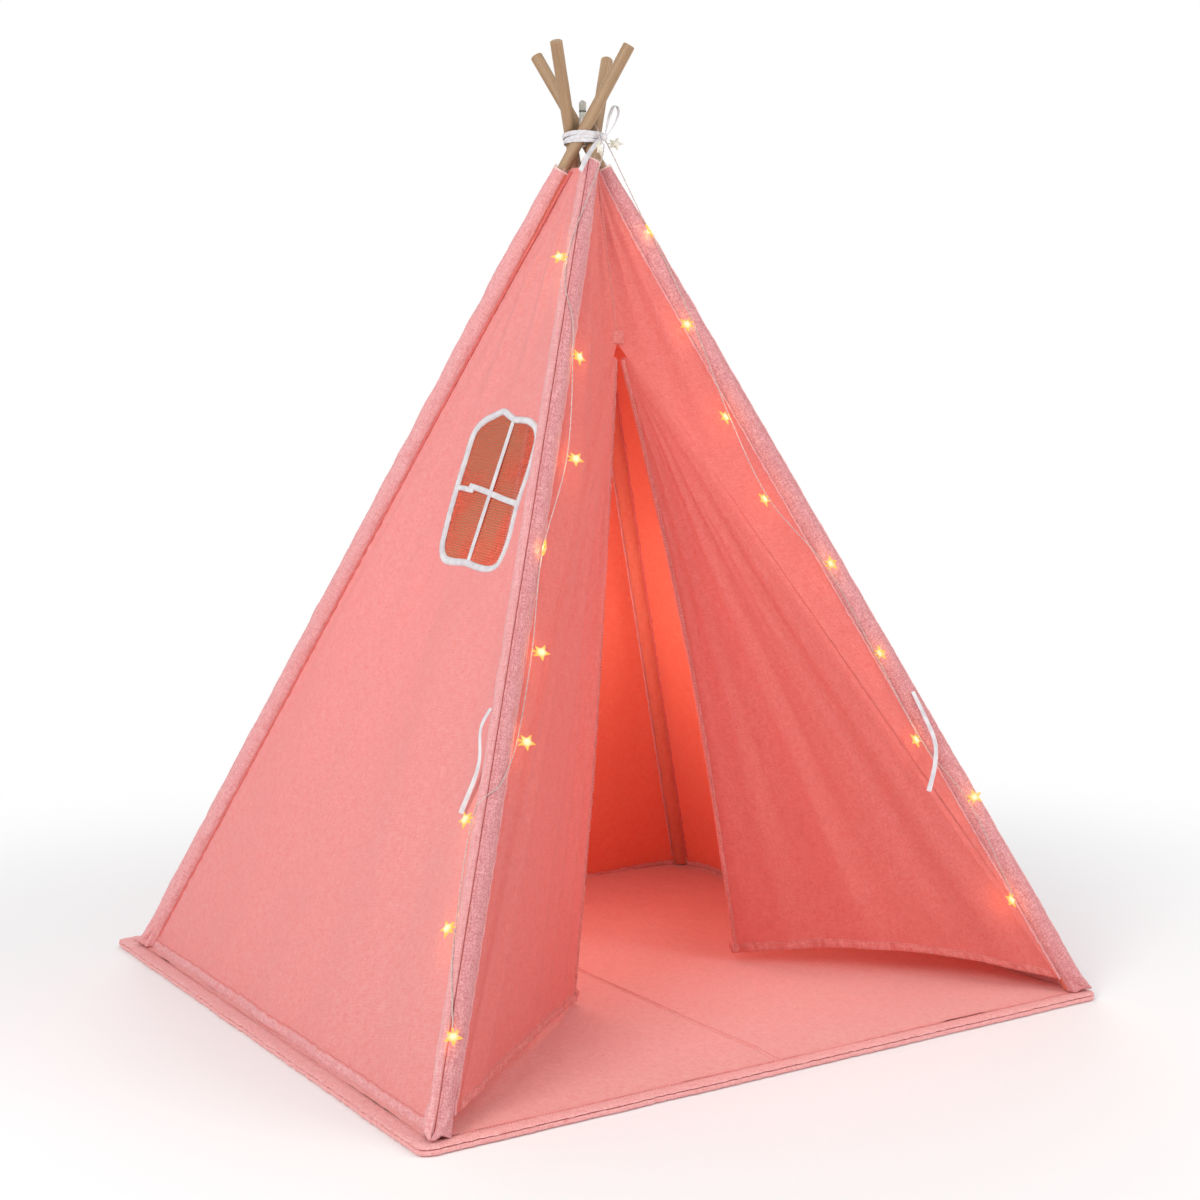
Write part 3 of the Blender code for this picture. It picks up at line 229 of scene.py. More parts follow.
class Nodes:
    """Short calls for building the node tree of a material or of the world."""

    def __init__(self, owner):
        owner.use_nodes = True
        self.owner, self.tree = owner, owner.node_tree
        self.tree.nodes.clear()

    def add(self, kind, inputs=None, **settings):
        node = self.tree.nodes.new("ShaderNode" + kind)
        for key, value in settings.items():
            setattr(node, key, value)
        for key, value in (inputs or {}).items():
            if isinstance(value, bpy.types.NodeSocket):
                self.tree.links.new(value, node.inputs[key])
            else:
                node.inputs[key].default_value = value
        return node

    def math(self, operation, first, second):
        return self.add("Math", {0: first, 1: second}, operation=operation).outputs[0]

    def times(self, first, second):
        return self.math("MULTIPLY", first, second)

    def plus(self, first, second):
        return self.math("ADD", first, second)

    def mix(self, factor, first, second):
        return self.add("Mix", {0: factor, 6: first, 7: second}, data_type="RGBA").outputs[2]

    def over(self, tint, value, share, colour):
        """The tint with a share of a colour laid over it where the value is high."""
        return self.mix(self.times(value, share), tint, linear(colour))

    def ramp(self, value, low, high):
        return self.add("MapRange", {"Value": value, "From Min": low, "From Max": high}).outputs[0]

    def places(self):
        """The map in metres, and the place in the piece."""
        node = self.add("TexCoord")
        return node.outputs["UV"], node.outputs["Object"]

    def attribute(self, name):
        return self.add("Attribute", attribute_name=name).outputs["Fac"]

    def noise(self, vector, scale, detail=3.0, roughness=0.55):
        return self.add("TexNoise", {"Vector": vector, "Scale": scale, "Detail": detail,
                                     "Roughness": roughness}).outputs["Fac"]

    def stretched(self, vector, scale):
        return self.add("Mapping", {"Vector": vector, "Scale": scale}).outputs[0]

    def waves(self, vector, axis, scale, distortion=0.0, detail=2.0, detail_scale=1.0):
        inputs = {"Vector": self.stretched(vector, scale), "Scale": WAVE_SCALE,
                  "Distortion": distortion, "Detail": detail, "Detail Scale": detail_scale}
        return self.add("TexWave", inputs, wave_type="BANDS", bands_direction=axis).outputs["Fac"]

    def bump(self, height, strength, distance, under=None):
        inputs = {"Strength": strength, "Distance": distance, "Height": height}
        return self.add("Bump", inputs if under is None else {**inputs, "Normal": under}).outputs[0]

    def principled(self, tint, rough, more):
        return self.add("BsdfPrincipled", {"Base Color": tint, "Roughness": rough, **more}).outputs[0]

    def blended(self, factor, first, second):
        return self.add("MixShader", {"Fac": factor, 1: first, 2: second}).outputs[0]

    def finish(self, surface, through=None, share=0.0, kind="Material"):
        """Close the tree; a thin cloth lets a share of the light through in a colour."""
        if through is not None:
            thin = self.add("BsdfTranslucent", {"Color": through}).outputs[0]
            surface = self.blended(share, surface, thin)
        self.add("Output" + kind, {"Surface": surface})
        return self.owner

    def seen_straight(self):
        """Where the camera looks at a surface straight, in a mirror or through glass."""
        path = self.add("LightPath").outputs
        seen = self.math("MAXIMUM", path["Is Camera Ray"], path["Is Glossy Ray"])
        return self.math("MAXIMUM", seen, path["Is Transmission Ray"])


def new_material(name):
    return Nodes(bpy.data.materials.new(name))


def woven(name, colour, dark, pale, heather=0.0, share=0.30, glow=None, unevenness=0.0, relief=0.35,
          grain=420.0):
    """Plain woven cotton: threads over and under, slubs, heather, dye changes and a darker tone near the
    sheet's edges.
    """
    n = new_material(name)
    place, body = n.places()
    thin, long = 1 / SLUB_WIDTH, 1 / SLUB_LENGTH
    warp, weft = (n.noise(n.stretched(place, scale), 1.0, 3.0, 0.65)
                  for scale in ((thin, long, 1), (long, thin, 1)))
    slubs = n.ramp(n.plus(warp, weft), 0.80, 1.24)
    count = 1 / WEAVE_PITCH
    weave = n.times(n.waves(place, "X", (count, 0, 0)), n.waves(place, "Y", (0, count, 0)))
    tint = n.mix(n.times(slubs, 0.75), linear(pale), linear(dark))
    tint = n.over(tint, n.ramp(n.noise(body, 6.0, 4.0), 0.3, 0.7), 0.45, colour)
    tint = n.over(tint, n.ramp(n.noise(body, 150.0, 4.0, 0.7), 0.46, 0.66), 0.30, dark)
    tint = n.over(tint, n.ramp(weave, 0.0, 0.5), 0.10, pale)
    mottled = n.noise(body, grain, 3.0, 0.7)
    tint = n.over(tint, n.ramp(mottled, 0.48, 0.60), heather, dark)
    tint = n.over(tint, n.ramp(mottled, 0.48, 0.36), heather, pale)
    # Darker within about 12 mm of a sheet's edges, where it meets the sleeves, seams, hems and the mat's
    # border.
    if unevenness:
        tint = n.over(tint, n.ramp(n.attribute("edge"), 0.012, 0.0), unevenness, dark)
    height = n.plus(n.times(weave, 0.5), n.times(slubs, 0.9))
    height = n.plus(height, n.times(n.noise(body, 900.0, 2.0), 0.5))
    soft = n.bump(n.noise(body, 26.0), 0.35, 0.006, n.bump(height, relief, 0.0006))
    shader = n.principled(tint, n.plus(n.times(slubs, 0.08), 0.84),
                          {"Normal": soft, "Sheen Weight": 0.2, "Sheen Roughness": 0.5,
                           "Specular IOR Level": 0.2})
    return n.finish(shader, n.mix(0.75, tint, linear(glow)) if glow else tint, share)


def tape(name, colour, dark):
    """White twill tape, ribbed across its width, with slightly greyer patches laid at random."""
    n = new_material(name)
    place, body = n.places()
    ribs = n.waves(place, "X", (1 / RIB_PITCH, 0.4 / RIB_PITCH, 0), 0.6, 1.0)
    tone_patches = n.noise(body, 60.0, 4.0)
    tint = n.mix(n.ramp(tone_patches, 0.35, 0.75), linear(colour), linear(dark))
    tint = n.over(tint, ribs, 0.12, dark)
    soft = n.bump(n.noise(body, 90.0, 2.0), 0.35, 0.002, n.bump(ribs, 0.5, 0.0004))
    shader = n.principled(tint, n.plus(n.times(tone_patches, 0.15), 0.7),
                          {"Normal": soft, "Sheen Weight": 0.2, "Specular IOR Level": 0.3})
    return n.finish(shader, tint, 0.12)


def wood(name, mapped):
    """Pale turned wood: streaks along the pole, growth bands, pores and darker handled patches."""
    n = new_material(name)
    place, body = n.places()

    def streaks(wide, long):
        if mapped:
            return n.stretched(place, (1 / wide, 1 / long, 1))
        return n.stretched(body, (1 / wide, 1 / wide, 1 / long))

    grain = n.noise(streaks(0.0035, 0.11), 1.0, 4.0, 0.6)
    pores = n.ramp(n.noise(streaks(0.0009, 0.012), 1.0, 2.0), 0.55, 0.72)
    bands = n.ramp(n.noise(streaks(0.010, 0.35), 1.0), 0.35, 0.68)
    tint = n.mix(bands, linear((176, 143, 108)), linear((146, 114, 83)))
    tint = n.over(tint, n.ramp(grain, 0.45, 0.75), 0.55, (130, 96, 68))
    tint = n.over(tint, pores, 0.35, (104, 74, 50))
    tint = n.over(tint, n.noise(body, 18.0, 2.0), 0.25, (198, 171, 140))
    height = n.math("SUBTRACT", grain, n.times(pores, 0.5))
    return n.finish(n.principled(tint, n.plus(n.times(grain, 0.2), 0.45),
                                 {"Normal": n.bump(height, 0.4, 0.0005)}))


def net_material():
    """Fine see-through net: warm threads with open holes between them."""
    n = new_material("net_gauze")
    place, body = n.places()
    lines = [n.ramp(n.waves(place, axis, scale, 0.7, 1.0, 0.6), 0.48, 0.92)
             for axis, scale in (("X", (1 / NET_PITCH, 0, 0)), ("Y", (0, 1 / NET_PITCH, 0)))]
    threads = n.math("MAXIMUM", *lines)
    uneven = n.ramp(n.noise(body, 110.0), 0.35, 0.65)
    tint = n.mix(uneven, linear((128, 68, 52)), linear((202, 86, 68)))
    tint = n.over(tint, n.ramp(n.noise(body, 330.0, 2.0, 0.7), 0.40, 0.62), 0.65, (238, 124, 98))
    tint = n.mix(n.ramp(n.noise(body, 7.0, 2.0), 0.46, 0.60), tint, linear((164, 116, 90)))
    return n.finish(n.principled(tint, n.plus(n.times(threads, 0.1), 0.8),
                                 {"Normal": n.bump(threads, 0.5, 0.0006), "Specular IOR Level": 0.2,
                                  "Alpha": n.plus(n.times(threads, 0.70), 0.24)}))


def plain(name, colour, other, roughness, metallic=0.0, scale=120.0, alpha=1.0, bump=0.25, coat=0.0):
    """A simple finish with its own fine grain, stains and uneven gloss."""
    n = new_material(name)
    _, body = n.places()
    spots = n.noise(body, scale, 4.0)
    relief = n.bump(n.plus(spots, n.noise(body, scale * 8, 2.0)), bump, 0.0003)
    tint = n.mix(n.ramp(spots, 0.35, 0.7), linear(colour), linear(other))
    return n.finish(n.principled(tint, n.plus(n.times(spots, 0.2), roughness - 0.1),
                                 {"Metallic": metallic, "Normal": relief, "Alpha": alpha,
                                  "Coat Weight": coat}))


def star_material(lit):
    """Moulded star: hot at its lamp in the middle and amber towards its tips, or pale and unlit."""
    n = new_material("star_lit" if lit else "star_unlit")
    core = n.attribute("core")
    cloud = n.noise(n.places()[1], 400.0, 2.0)
    if lit:
        tint = n.mix(n.ramp(core, 0.1, 0.8), linear((120, 66, 18)), linear((150, 110, 60)))
        shine = n.mix(n.ramp(core, 0.0, 0.75), linear((255, 196, 62)), linear((255, 250, 226)))
        more = {"Emission Color": n.over(shine, cloud, 0.35, (255, 224, 120)), "Emission Strength": 0.95}
    else:
        tint = n.mix(n.ramp(core, 0.0, 0.8), linear((222, 216, 196)), linear((244, 240, 226)))
        more = {"Coat Weight": 0.3}
    return n.finish(n.principled(tint, n.plus(n.times(cloud, 0.2), 0.25 if lit else 0.2), more))


GLOW = (255, 120, 84)
# The walls and the front are one dyed cotton in two copies: the walls' copy is painted lighter as if lit,
# the front panels' and flaps' copy painted darker as shade.
LIT_WALL_CLOTH = woven("cotton_wall_painted_lit", (246, 168, 165), (238, 138, 134), (250, 192, 190), heather=0.18,
                   glow=GLOW, unevenness=0.2)
SHADED_FRONT_CLOTH = woven("cotton_front_painted_shade", (238, 134, 127), (224, 104, 96), (244, 158, 153), heather=0.18,
                   glow=GLOW, unevenness=0.2)
# Painted glow: the cloth's inside faces are a deeper orange-red, standing in for the light that comes
# through the thin cotton.
INSIDE_GLOW_CLOTH = woven("cotton_inside_painted_glow", (248, 142, 116), (238, 116, 92), (250, 164, 140), heather=0.15, glow=GLOW)
SLEEVE_CLOTH = woven("cotton_sleeve", (240, 162, 160), (216, 120, 122), (250, 196, 196), heather=0.34,
                     relief=0.5, share=0.05, grain=430.0)
STRIP_CLOTH = woven("cotton_strip", (226, 136, 136), (192, 100, 104), (244, 184, 186), heather=0.48,
                    relief=0.6, share=0.05, grain=400.0)
BOUND_CLOTH = woven("cotton_binding", (236, 128, 121), (214, 96, 90), (246, 160, 154), heather=0.35,
                    relief=0.6, share=0.08)
# Painted shade: a darker cotton for the seams beside the back sleeves, standing in for the shadow of the
# fold there.
SHADED_CLOTH = woven("cotton_painted_shade", (224, 108, 102), (196, 78, 72), (234, 130, 124), heather=0.2,
                     share=0.05)
MAT_CLOTH = woven("cotton_mat", (233, 156, 152), (222, 126, 121), (240, 180, 177), heather=0.15,
                  share=0.0, unevenness=0.2)
BASE_CLOTH = woven("cotton_base", (242, 164, 161), (222, 122, 119), (251, 198, 196), heather=0.35,
                   share=0.0, relief=0.5)
THREAD = plain("thread", (150, 62, 58), (178, 84, 78), 0.8)
SOFT_THREAD = plain("soft_thread", (196, 98, 94), (214, 120, 114), 0.8)
RAW_EDGE = plain("raw_edge", (240, 214, 206), (226, 180, 172), 0.9, bump=0.5)
CREAM_THREAD = plain("cream_thread", (214, 206, 204), (236, 232, 232), 0.8)
TAPE = tape("twill_tape", (246, 245, 247), (218, 213, 219))
WOOD_TURNED, WOOD_HIDDEN = wood("wood_turned", True), wood("wood_pole", False)
NET = net_material()
WIRE = plain("wire_jacket", (214, 196, 190), (168, 150, 148), 0.4, 0.3, 300.0)
STEEL = plain("steel", (196, 198, 202), (158, 160, 166), 0.35, 1.0)
RUBBER = plain("rubber", (44, 42, 42), (66, 62, 60), 0.8)
CLEAR = plain("clear_plastic", (232, 232, 224), (214, 214, 204), 0.25, 0.0, 80.0, 0.72, coat=0.3)
CAP = plain("cap_plastic", (226, 228, 226), (196, 198, 198), 0.3, 0.0, 90.0, coat=0.3)
STAR_LIT, STAR_UNLIT = star_material(True), star_material(False)
WALL_SET = [LIT_WALL_CLOTH, SLEEVE_CLOTH, SOFT_THREAD, INSIDE_GLOW_CLOTH]
FRONT_SET = [SHADED_FRONT_CLOTH, BOUND_CLOTH, SOFT_THREAD, INSIDE_GLOW_CLOTH]
INNER_SLOT = 3
HEM_SLOT, HEM_THREAD_SLOT = 1, 2


# Meshes

class Build:
    """Points, faces, a map in metres and materials of one piece, gathered from parts."""

    def __init__(self):
        self.points, self.faces, self.slots, self.maps, self.edges, self.cores = [], [], [], [], [], []

    def add(self, points, faces, slots=0, maps=None, edge=1.0, core=0.0):
        start, points = len(self.points), np.array(points, float).reshape(-1, 3)
        self.points += points.tolist()
        self.faces += [tuple(start + i for i in face) for face in faces]
        self.slots += [slots] * len(faces) if np.isscalar(slots) else slots
        maps = points[:, [0, 2]] if maps is None else np.array(maps, float).reshape(-1, 2)
        self.maps += maps.tolist()
        self.edges += np.broadcast_to(edge, len(points)).tolist()
        self.cores += np.broadcast_to(core, len(points)).tolist()

    def object(self, name, materials, sharp=40):
        mesh = bpy.data.meshes.new(name)
        mesh.from_pydata(self.points, [], self.faces)
        layer = mesh.uv_layers.new(name="cloth")
        index = np.zeros(len(mesh.loops), np.int32)
        mesh.loops.foreach_get("vertex_index", index)
        layer.data.foreach_set("uv", np.array(self.maps, np.float32)[index].ravel())
        mesh.polygons.foreach_set("material_index", np.array(self.slots, np.int32))
        for label, values in (("edge", self.edges), ("core", self.cores)):
            layer = mesh.attributes.new(label, "FLOAT", "POINT")
            layer.data.foreach_set("value", np.array(values, np.float32))
        for material in materials:
            mesh.materials.append(material)
        mesh.shade_smooth()
        mesh.set_sharp_from_angle(angle=radians(sharp))
        return linked(name, mesh)

    def piece(self, name, materials, body, node, slot, sharp=40):
        """The finished mesh as a piece that a body carries, in the place of a CAD node."""
        return assign(self.object(name, materials, sharp), body, node)


def assign(piece, body, node):
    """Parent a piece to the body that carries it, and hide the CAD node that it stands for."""
    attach(piece, body)
    if node:
        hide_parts(node)
    return piece


def unit(values):
    return values / np.maximum(np.linalg.norm(values, axis=-1, keepdims=True), 1e-12)


def lengths(line):
    """The way along a line up to each of its points."""
    return np.linalg.norm(np.diff(line, axis=0, prepend=line[:1]), axis=1).cumsum()


def picked(at, along, values):
    """Values along a line at other places on it."""
    return np.stack([np.interp(at, along, column) for column in np.array(values, float).T], axis=1)


def smooth_step(x):
    x = np.clip(x, 0, 1)
    return x * x * (3 - 2 * x)


def bell(x, middle, width):
    return np.exp(-((x - middle) / width) ** 2)


def distances(mid):
    """Each grid point's way from the first and the last column, and down from the first row."""
    across, down = (np.linalg.norm(np.diff(mid, axis=axis, prepend=mid.take([0], axis)),
                                   axis=2).cumsum(axis) for axis in (1, 0))
    return across, across[:, -1:] - across, down


def grid_normals(mid):
    return unit(np.cross(np.gradient(mid, axis=1), np.gradient(mid, axis=0)))


def pushed(mid, amount):
    return mid + grid_normals(mid) * amount[..., None]


def sample(surface, us, vs):
    return np.array([[surface(u, v) for u in us] for v in vs], float)


def loop_faces(rows, size, flip=False, closed=False, caps=True):
    """Faces between rows of points that close on themselves, with caps on the open ends."""
    faces = []
    for i in range(rows if closed else rows - 1):
        here, there = i * size, (i + 1) % rows * size
        for j in range(size):
            k = (j + 1) % size
            faces.append((here + j, there + j, there + k, here + k) if flip
                         else (here + j, here + k, there + k, there + j))
    if caps and not closed:
        first, last = tuple(range(size)), tuple(range((rows - 1) * size, rows * size))
        faces += [first, last[::-1]] if flip else [first[::-1], last]
    return faces


def add_sheet(build, mid, thickness=CLOTH, inside_slot=0, top_inside=False):
    """A closed sheet about a grid of middle points, with a given slot for its inner side; on the tent's
    cloth that slot holds the painted orange glow of light through the cloth.
    """
    rows, wide = mid.shape[:2]
    count = rows * wide
    half = grid_normals(mid) * thickness / 2
    from_left, from_right, down = distances(mid)
    maps = np.stack([from_left - from_left[:, wide // 2:wide // 2 + 1], down], axis=2)
    inset = np.minimum(np.minimum(from_left, from_right), np.minimum(down, down[-1:] - down)).ravel()
    grid = np.arange(count).reshape(rows, wide)
    faces = np.stack([grid[:-1, :-1], grid[:-1, 1:], grid[1:, 1:], grid[1:, :-1]], axis=2).reshape(-1, 4)
    rim = np.concatenate([grid[0], grid[1:, -1], grid[-1, -2::-1], grid[-2:0:-1, 0]]).tolist()
    sides = [(b, a, count + a, count + b) for a, b in zip(rim, rim[1:] + rim[:1])]
    shown, hidden = [0] * len(faces), [inside_slot] * len(faces)
    slots = (hidden + shown if top_inside else shown + hidden) + [0] * len(sides)
    faces = faces.tolist() + (faces[:, ::-1] + count).tolist() + sides
    build.add([mid + half, mid - half], faces, slots, [maps, maps], np.tile(inset, 2))


# a spindle's faces, from its ends 0 and 5 to the four points round its middle
THREAD_FACES = [face for i, k in ((1, 2), (2, 3), (3, 4), (4, 1)) for face in ((0, k, i), (5, i, k))]
# rows of stitches: the way from one to the next, a stitch's length and half its thickness
HEM_STITCH, FELL_STITCH = (0.0048, 0.0032, 0.00055), (0.0050, 0.0034, 0.00055)
PATCH_STITCH, SLEEVE_STITCH = (0.0026, 0.0019, 0.0003), (0.0062, 0.0042, 0.00045)
TAPE_STITCH, BORDER_STITCH = (0.0046, 0.0031, 0.00045), (0.0052, 0.0036, 0.0004)
PAD_STITCH = (0.0052, 0.0036, 0.0005)


def add_threads(build, mid, way, up, slot, length, half, tall, dip):
    """A small spindle of thread at each place; dip is how much deeper its ends lie."""
    ends, side = way * length / 2, np.cross(way, up) * half
    points = [mid - ends - up * dip, mid + side, mid + up * tall, mid - side, mid - up * tall,
              mid + ends - up * dip]
    faces = [[6 * k + i for i in face] for k in range(len(mid)) for face in THREAD_FACES]
    build.add(np.stack(points, axis=1), faces, slot)


def add_stitches(build, line, normals, slot, pitch, length, half):
    """A row of thread stitches lying on a line of points."""
    line = np.array(line, float)
    along = lengths(line)
    at = np.arange(pitch, along[-1] - pitch / 2, pitch)
    way = unit(picked(at + 0.002, along, line) - picked(at - 0.002, along, line))
    up = picked(at, along, normals)
    up = unit(up - way * (up * way).sum(1, keepdims=True))
    add_threads(build, picked(at, along, line), way, up, slot, length, half, half * 0.8, 0.0)


def add_overlock(build, line, across, normals, slot, length, pitch, skew, half):
    """Slanting threads side by side over a seam along a line of points."""
    along = lengths(line)
    at = np.arange(pitch, along[-1] - pitch, pitch)
    run = unit(picked(at + 0.001, along, line) - picked(at - 0.001, along, line))
    way = unit(unit(picked(at, along, across)) + run * skew)
    up = unit(picked(at, along, normals))
    add_threads(build, picked(at, along, line), way, up, slot, length, half, half, half)


def frames_along(line):
    """Two directions square to a line of points at each point, turning as little as they can."""
    run = unit(np.gradient(line, axis=0))
    side = np.cross(run[0], [0.0, 0.0, 1.0])
    if np.linalg.norm(side) < 1e-6:
        side = np.array([1.0, 0.0, 0.0])
    sides = []
    for way in run:
        side = unit(side - way * (side @ way))
        sides.append(side)
    return np.array(sides), np.cross(run, sides)


def add_tube(build, line, radius, sides=8, slot=0):
    """A round tube along a line; radius is one number or one for each point."""
    line = np.array(line, float)
    side, up = frames_along(line)
    radius = np.broadcast_to(radius, len(line))[:, None]
    turn = np.arange(sides) * 2 * pi / sides
    spokes = side[:, None] * np.cos(turn)[:, None] + up[:, None] * np.sin(turn)[:, None]
    maps = np.stack(np.broadcast_arrays(turn * radius, lengths(line)[:, None]), axis=2)
    build.add(line[:, None] + spokes * radius[..., None], loop_faces(len(line), sides), slot, maps)


def add_band(build, line, widths, across, thickness, slot=0, crown=0.3, closed=False):
    """A flat tape with soft edges along a line; across gives its width's direction at each point."""
    line, across = np.array(line, float), np.array(across, float)
    run = np.roll(line, -1, axis=0) - np.roll(line, 1, axis=0) if closed else np.gradient(line, axis=0)
    run = unit(run)
    across = unit(across - run * (across * run).sum(1, keepdims=True))
    up = np.cross(run, across)
    x = np.array((-1, -0.86, -0.4, 0, 0.4, 0.86, 1, 0.86, 0.4, 0, -0.4, -0.86))
    y = np.array((0, 0.8, 1 + crown * 0.7, 1 + crown, 1 + crown * 0.7, 0.8, 0, -0.8, -1, -1, -1, -0.8))
    aside = x * np.broadcast_to(widths, len(line))[:, None] / 2
    lifts = up[:, None] * (y * thickness / 2)[:, None]
    points = line[:, None] + across[:, None] * aside[..., None] + lifts
    maps = np.stack(np.broadcast_arrays(lengths(line)[:, None], aside), axis=2)
    build.add(points, loop_faces(len(line), len(x), True, closed), slot, maps)


def spline(a, b, c, d, t):
    """The point at t from b to c of a smooth curve through four points."""
    return 0.5 * ((2 * b) + (c - a) * t + (2 * a - 5 * b + 4 * c - d) * t * t
                  + (3 * b - a - 3 * c + d) * t ** 3)


def smooth_route(controls, count):
    """Even points on a smooth curve through the control points, as the CAD part makes them."""
    controls = [Vector(point) for point in controls]
    ends = [controls[0] * 2 - controls[1]] + controls + [controls[-1] * 2 - controls[-2]]
    fine = [spline(*ends[i - 1:i + 3], step / 24) for i in range(1, len(ends) - 2) for step in range(24)]
    line = np.array(fine + [controls[-1]], float)
    along = lengths(line)
    return [Vector(point) for point in picked(np.linspace(0, along[-1], count), along, line)]


def length_of(line):
    return float(sum((b - a).length for a, b in zip(line, line[1:])))


# The part's lines

def between(first, second, u, depth):
    """A point of the ruled panel between two poles' sleeves, u from the first to the second."""
    start, end = first.at_depth(depth), second.at_depth(depth)
    toward = (end - start).normalized()
    start += toward * first.side_reach(depth, toward)
    end -= toward * second.side_reach(depth, -toward)
    return start.lerp(end, u)


def wall_surface(first, second, u, depth):
    """The panel with its slack, which sags towards the tent's middle."""
    share = (depth - WALL_TOP_DEPTH) / (HEM_DEPTH - WALL_TOP_DEPTH)
    sag = WALL_SLACK * sin(pi * u) * sin(pi * min(max(share, 0), 1)) ** 0.5
    point = between(first, second, u, depth)
    return point + Vector((LASHING.x - point.x, LASHING.y - point.y, 0)).normalized() * sag


# the window's outline, across and up the wall from its middle
WINDOW_LINE = (
    (0.0100, 0.1165), (0.0318, 0.1222), (0.0560, 0.1150), (0.0880, 0.1020), (0.1085, 0.0790),
    (0.1140, 0.0300), (0.1172, -0.0300), (0.1160, -0.0830), (0.1120, -0.1120), (0.0960, -0.1285),
    (0.0700, -0.1310), (0.0460, -0.1290), (0.0165, -0.1268), (-0.0150, -0.1285), (-0.0495, -0.1280),
    (-0.0715, -0.1235), (-0.0865, -0.1120), (-0.0950, -0.0780), (-0.0920, -0.0250), (-0.0975, 0.0350),
    (-0.0965, 0.0800), (-0.0890, 0.0960), (-0.0770, 0.1055), (-0.0560, 0.1115), (-0.0330, 0.1122),
    (-0.0130, 0.1115))


def window_outline(inset, fine=1):
    """The window's outline drawn in by an inset, as a smooth closed line."""
    size = len(WINDOW_LINE)
    points = []
    for index in range(size):
        a, b, c, d = (Vector(WINDOW_LINE[(index + k) % size]) for k in (-1, 0, 1, 2))
        for step in range(2 * fine):
            t = step / (2 * fine)
            way = 0.5 * ((c - a) + (4 * a - 10 * b + 8 * c - 2 * d) * t
                         + 3 * (3 * b - a - 3 * c + d) * t * t)
            points.append(tuple(spline(a, b, c, d, t) + Vector((-way.y, way.x)).normalized() * inset))
    return points


def on_left_wall(across, up, offset=0.0):
    """The wall's point at a place of the window, lifted off the cloth's middle to the outside."""
    front, back = POLES[LEFT, FRONT], POLES[LEFT, BACK]

    def point_at(run, rise):
        run, rise = run + WINDOW_LEAN * rise, rise + WINDOW_TILT * run
        depth = (WINDOW_SLOPE - rise) * LASHING_HEIGHT / WALL_LENGTH
        start, end = between(front, back, 0, depth), between(front, back, 1, depth)
        u = (TENT_Y + WINDOW_ACROSS + run - start.y) / (end.y - start.y)
        return wall_surface(front, back, u, depth)

    step = 0.004
    along = point_at(across + step, up) - point_at(across - step, up)
    rising = point_at(across, up + step) - point_at(across, up - step)
    normal = rising.cross(along).normalized()
    return point_at(across, up) + (normal if normal.x < 0 else -normal) * offset


def seam_point(depth):
    """The centre seam of the front, which the door flaps pull into the tent."""
    middle = between(POLES[LEFT, FRONT], POLES[RIGHT, FRONT], 0.5, depth)
    return middle + Vector((0, SLIT_SAG * (max(depth, 0) / SLIT_DEPTH) ** 1.5, 0))


def hinge_line(side):
    """The flap's fold line, from beside the slit's top to beside the foot of the pole."""
    pole, other = POLES[side, FRONT], POLES[-side, FRONT]
    toward = (other.at_depth(HEM_DEPTH) - pole.at_depth(HEM_DEPTH)).normalized()
    reach = pole.side_reach(HEM_DEPTH, toward) + FLAP_FOOT_CLEARANCE
    return seam_point(SLIT_DEPTH) - toward * SLIT_HALF, pole.at_depth(HEM_DEPTH) + toward * reach


HINGES = {side: hinge_line(side) for side in SIDES}


def front_point(side, u, depth):
    """The fixed front panel: u from the sleeve's edge to the centre seam or the flap's fold line."""
    pole, other = POLES[side, FRONT], POLES[-side, FRONT]
    edge, middle = between(pole, other, 0, depth), between(pole, other, 0.5, depth)
    inner = seam_point(depth)
    if depth > SLIT_DEPTH:
        high, low = HINGES[side]
        inner = high.lerp(low, (high.z - inner.z) / (high.z - low.z))
    flat = edge.lerp(middle, (inner.x - edge.x) / (middle.x - edge.x))
    return edge.lerp(flat, u) + (inner - flat) * (u * u * (3 - 2 * u))


def flap_surface(side, u, v):
    """A door flap held open: u from the fold line to the free edge, v from the slit's top down."""
    x, y, height, bow, arch = CORNERS[side]
    corner = Vector((TENT_X + x, TENT_Y + y, MAT_TOP + height))
    high, low = HINGES[side]
    share = FLAP_TOP_SHARE + (1 - FLAP_TOP_SHARE) * v
    edge = seam_point(SLIT_DEPTH).lerp(corner, share) + Vector((bow * sin(pi * share), 0, 0))
    normal = (low - high).cross(corner - high).normalized()
    if normal.y > 0:
        normal.negate()
    fade = min(1, 4 * u) * min(1, 4 * (1 - u))
    wave = FLAP_FOLD_DEPTH * sin(2 * pi * FLAP_FOLDS * u) * fade * share * (1 - 0.6 * share ** 4)
    return high.lerp(low, share).lerp(edge, u) + normal * wave + Z * (arch * sin(pi * u) * share ** 6)


def on_sleeve(pole, point):
    """The point itself, or where it would pierce the sleeve, the place over it on the sleeve."""
    depth = LASHING.z - point.z
    if depth < 0:
        return point
    nearest = pole.crossing + pole.direction * (point - pole.crossing).dot(pole.direction)
    away = point - nearest
    clear = sleeve_radius(depth + SLEEVE_RADIUS / 2) + WIRE_RADIUS + WIRE_LIFT
    return point if away.length >= clear else nearest + away.normalized() * clear


# Lights and ribbons

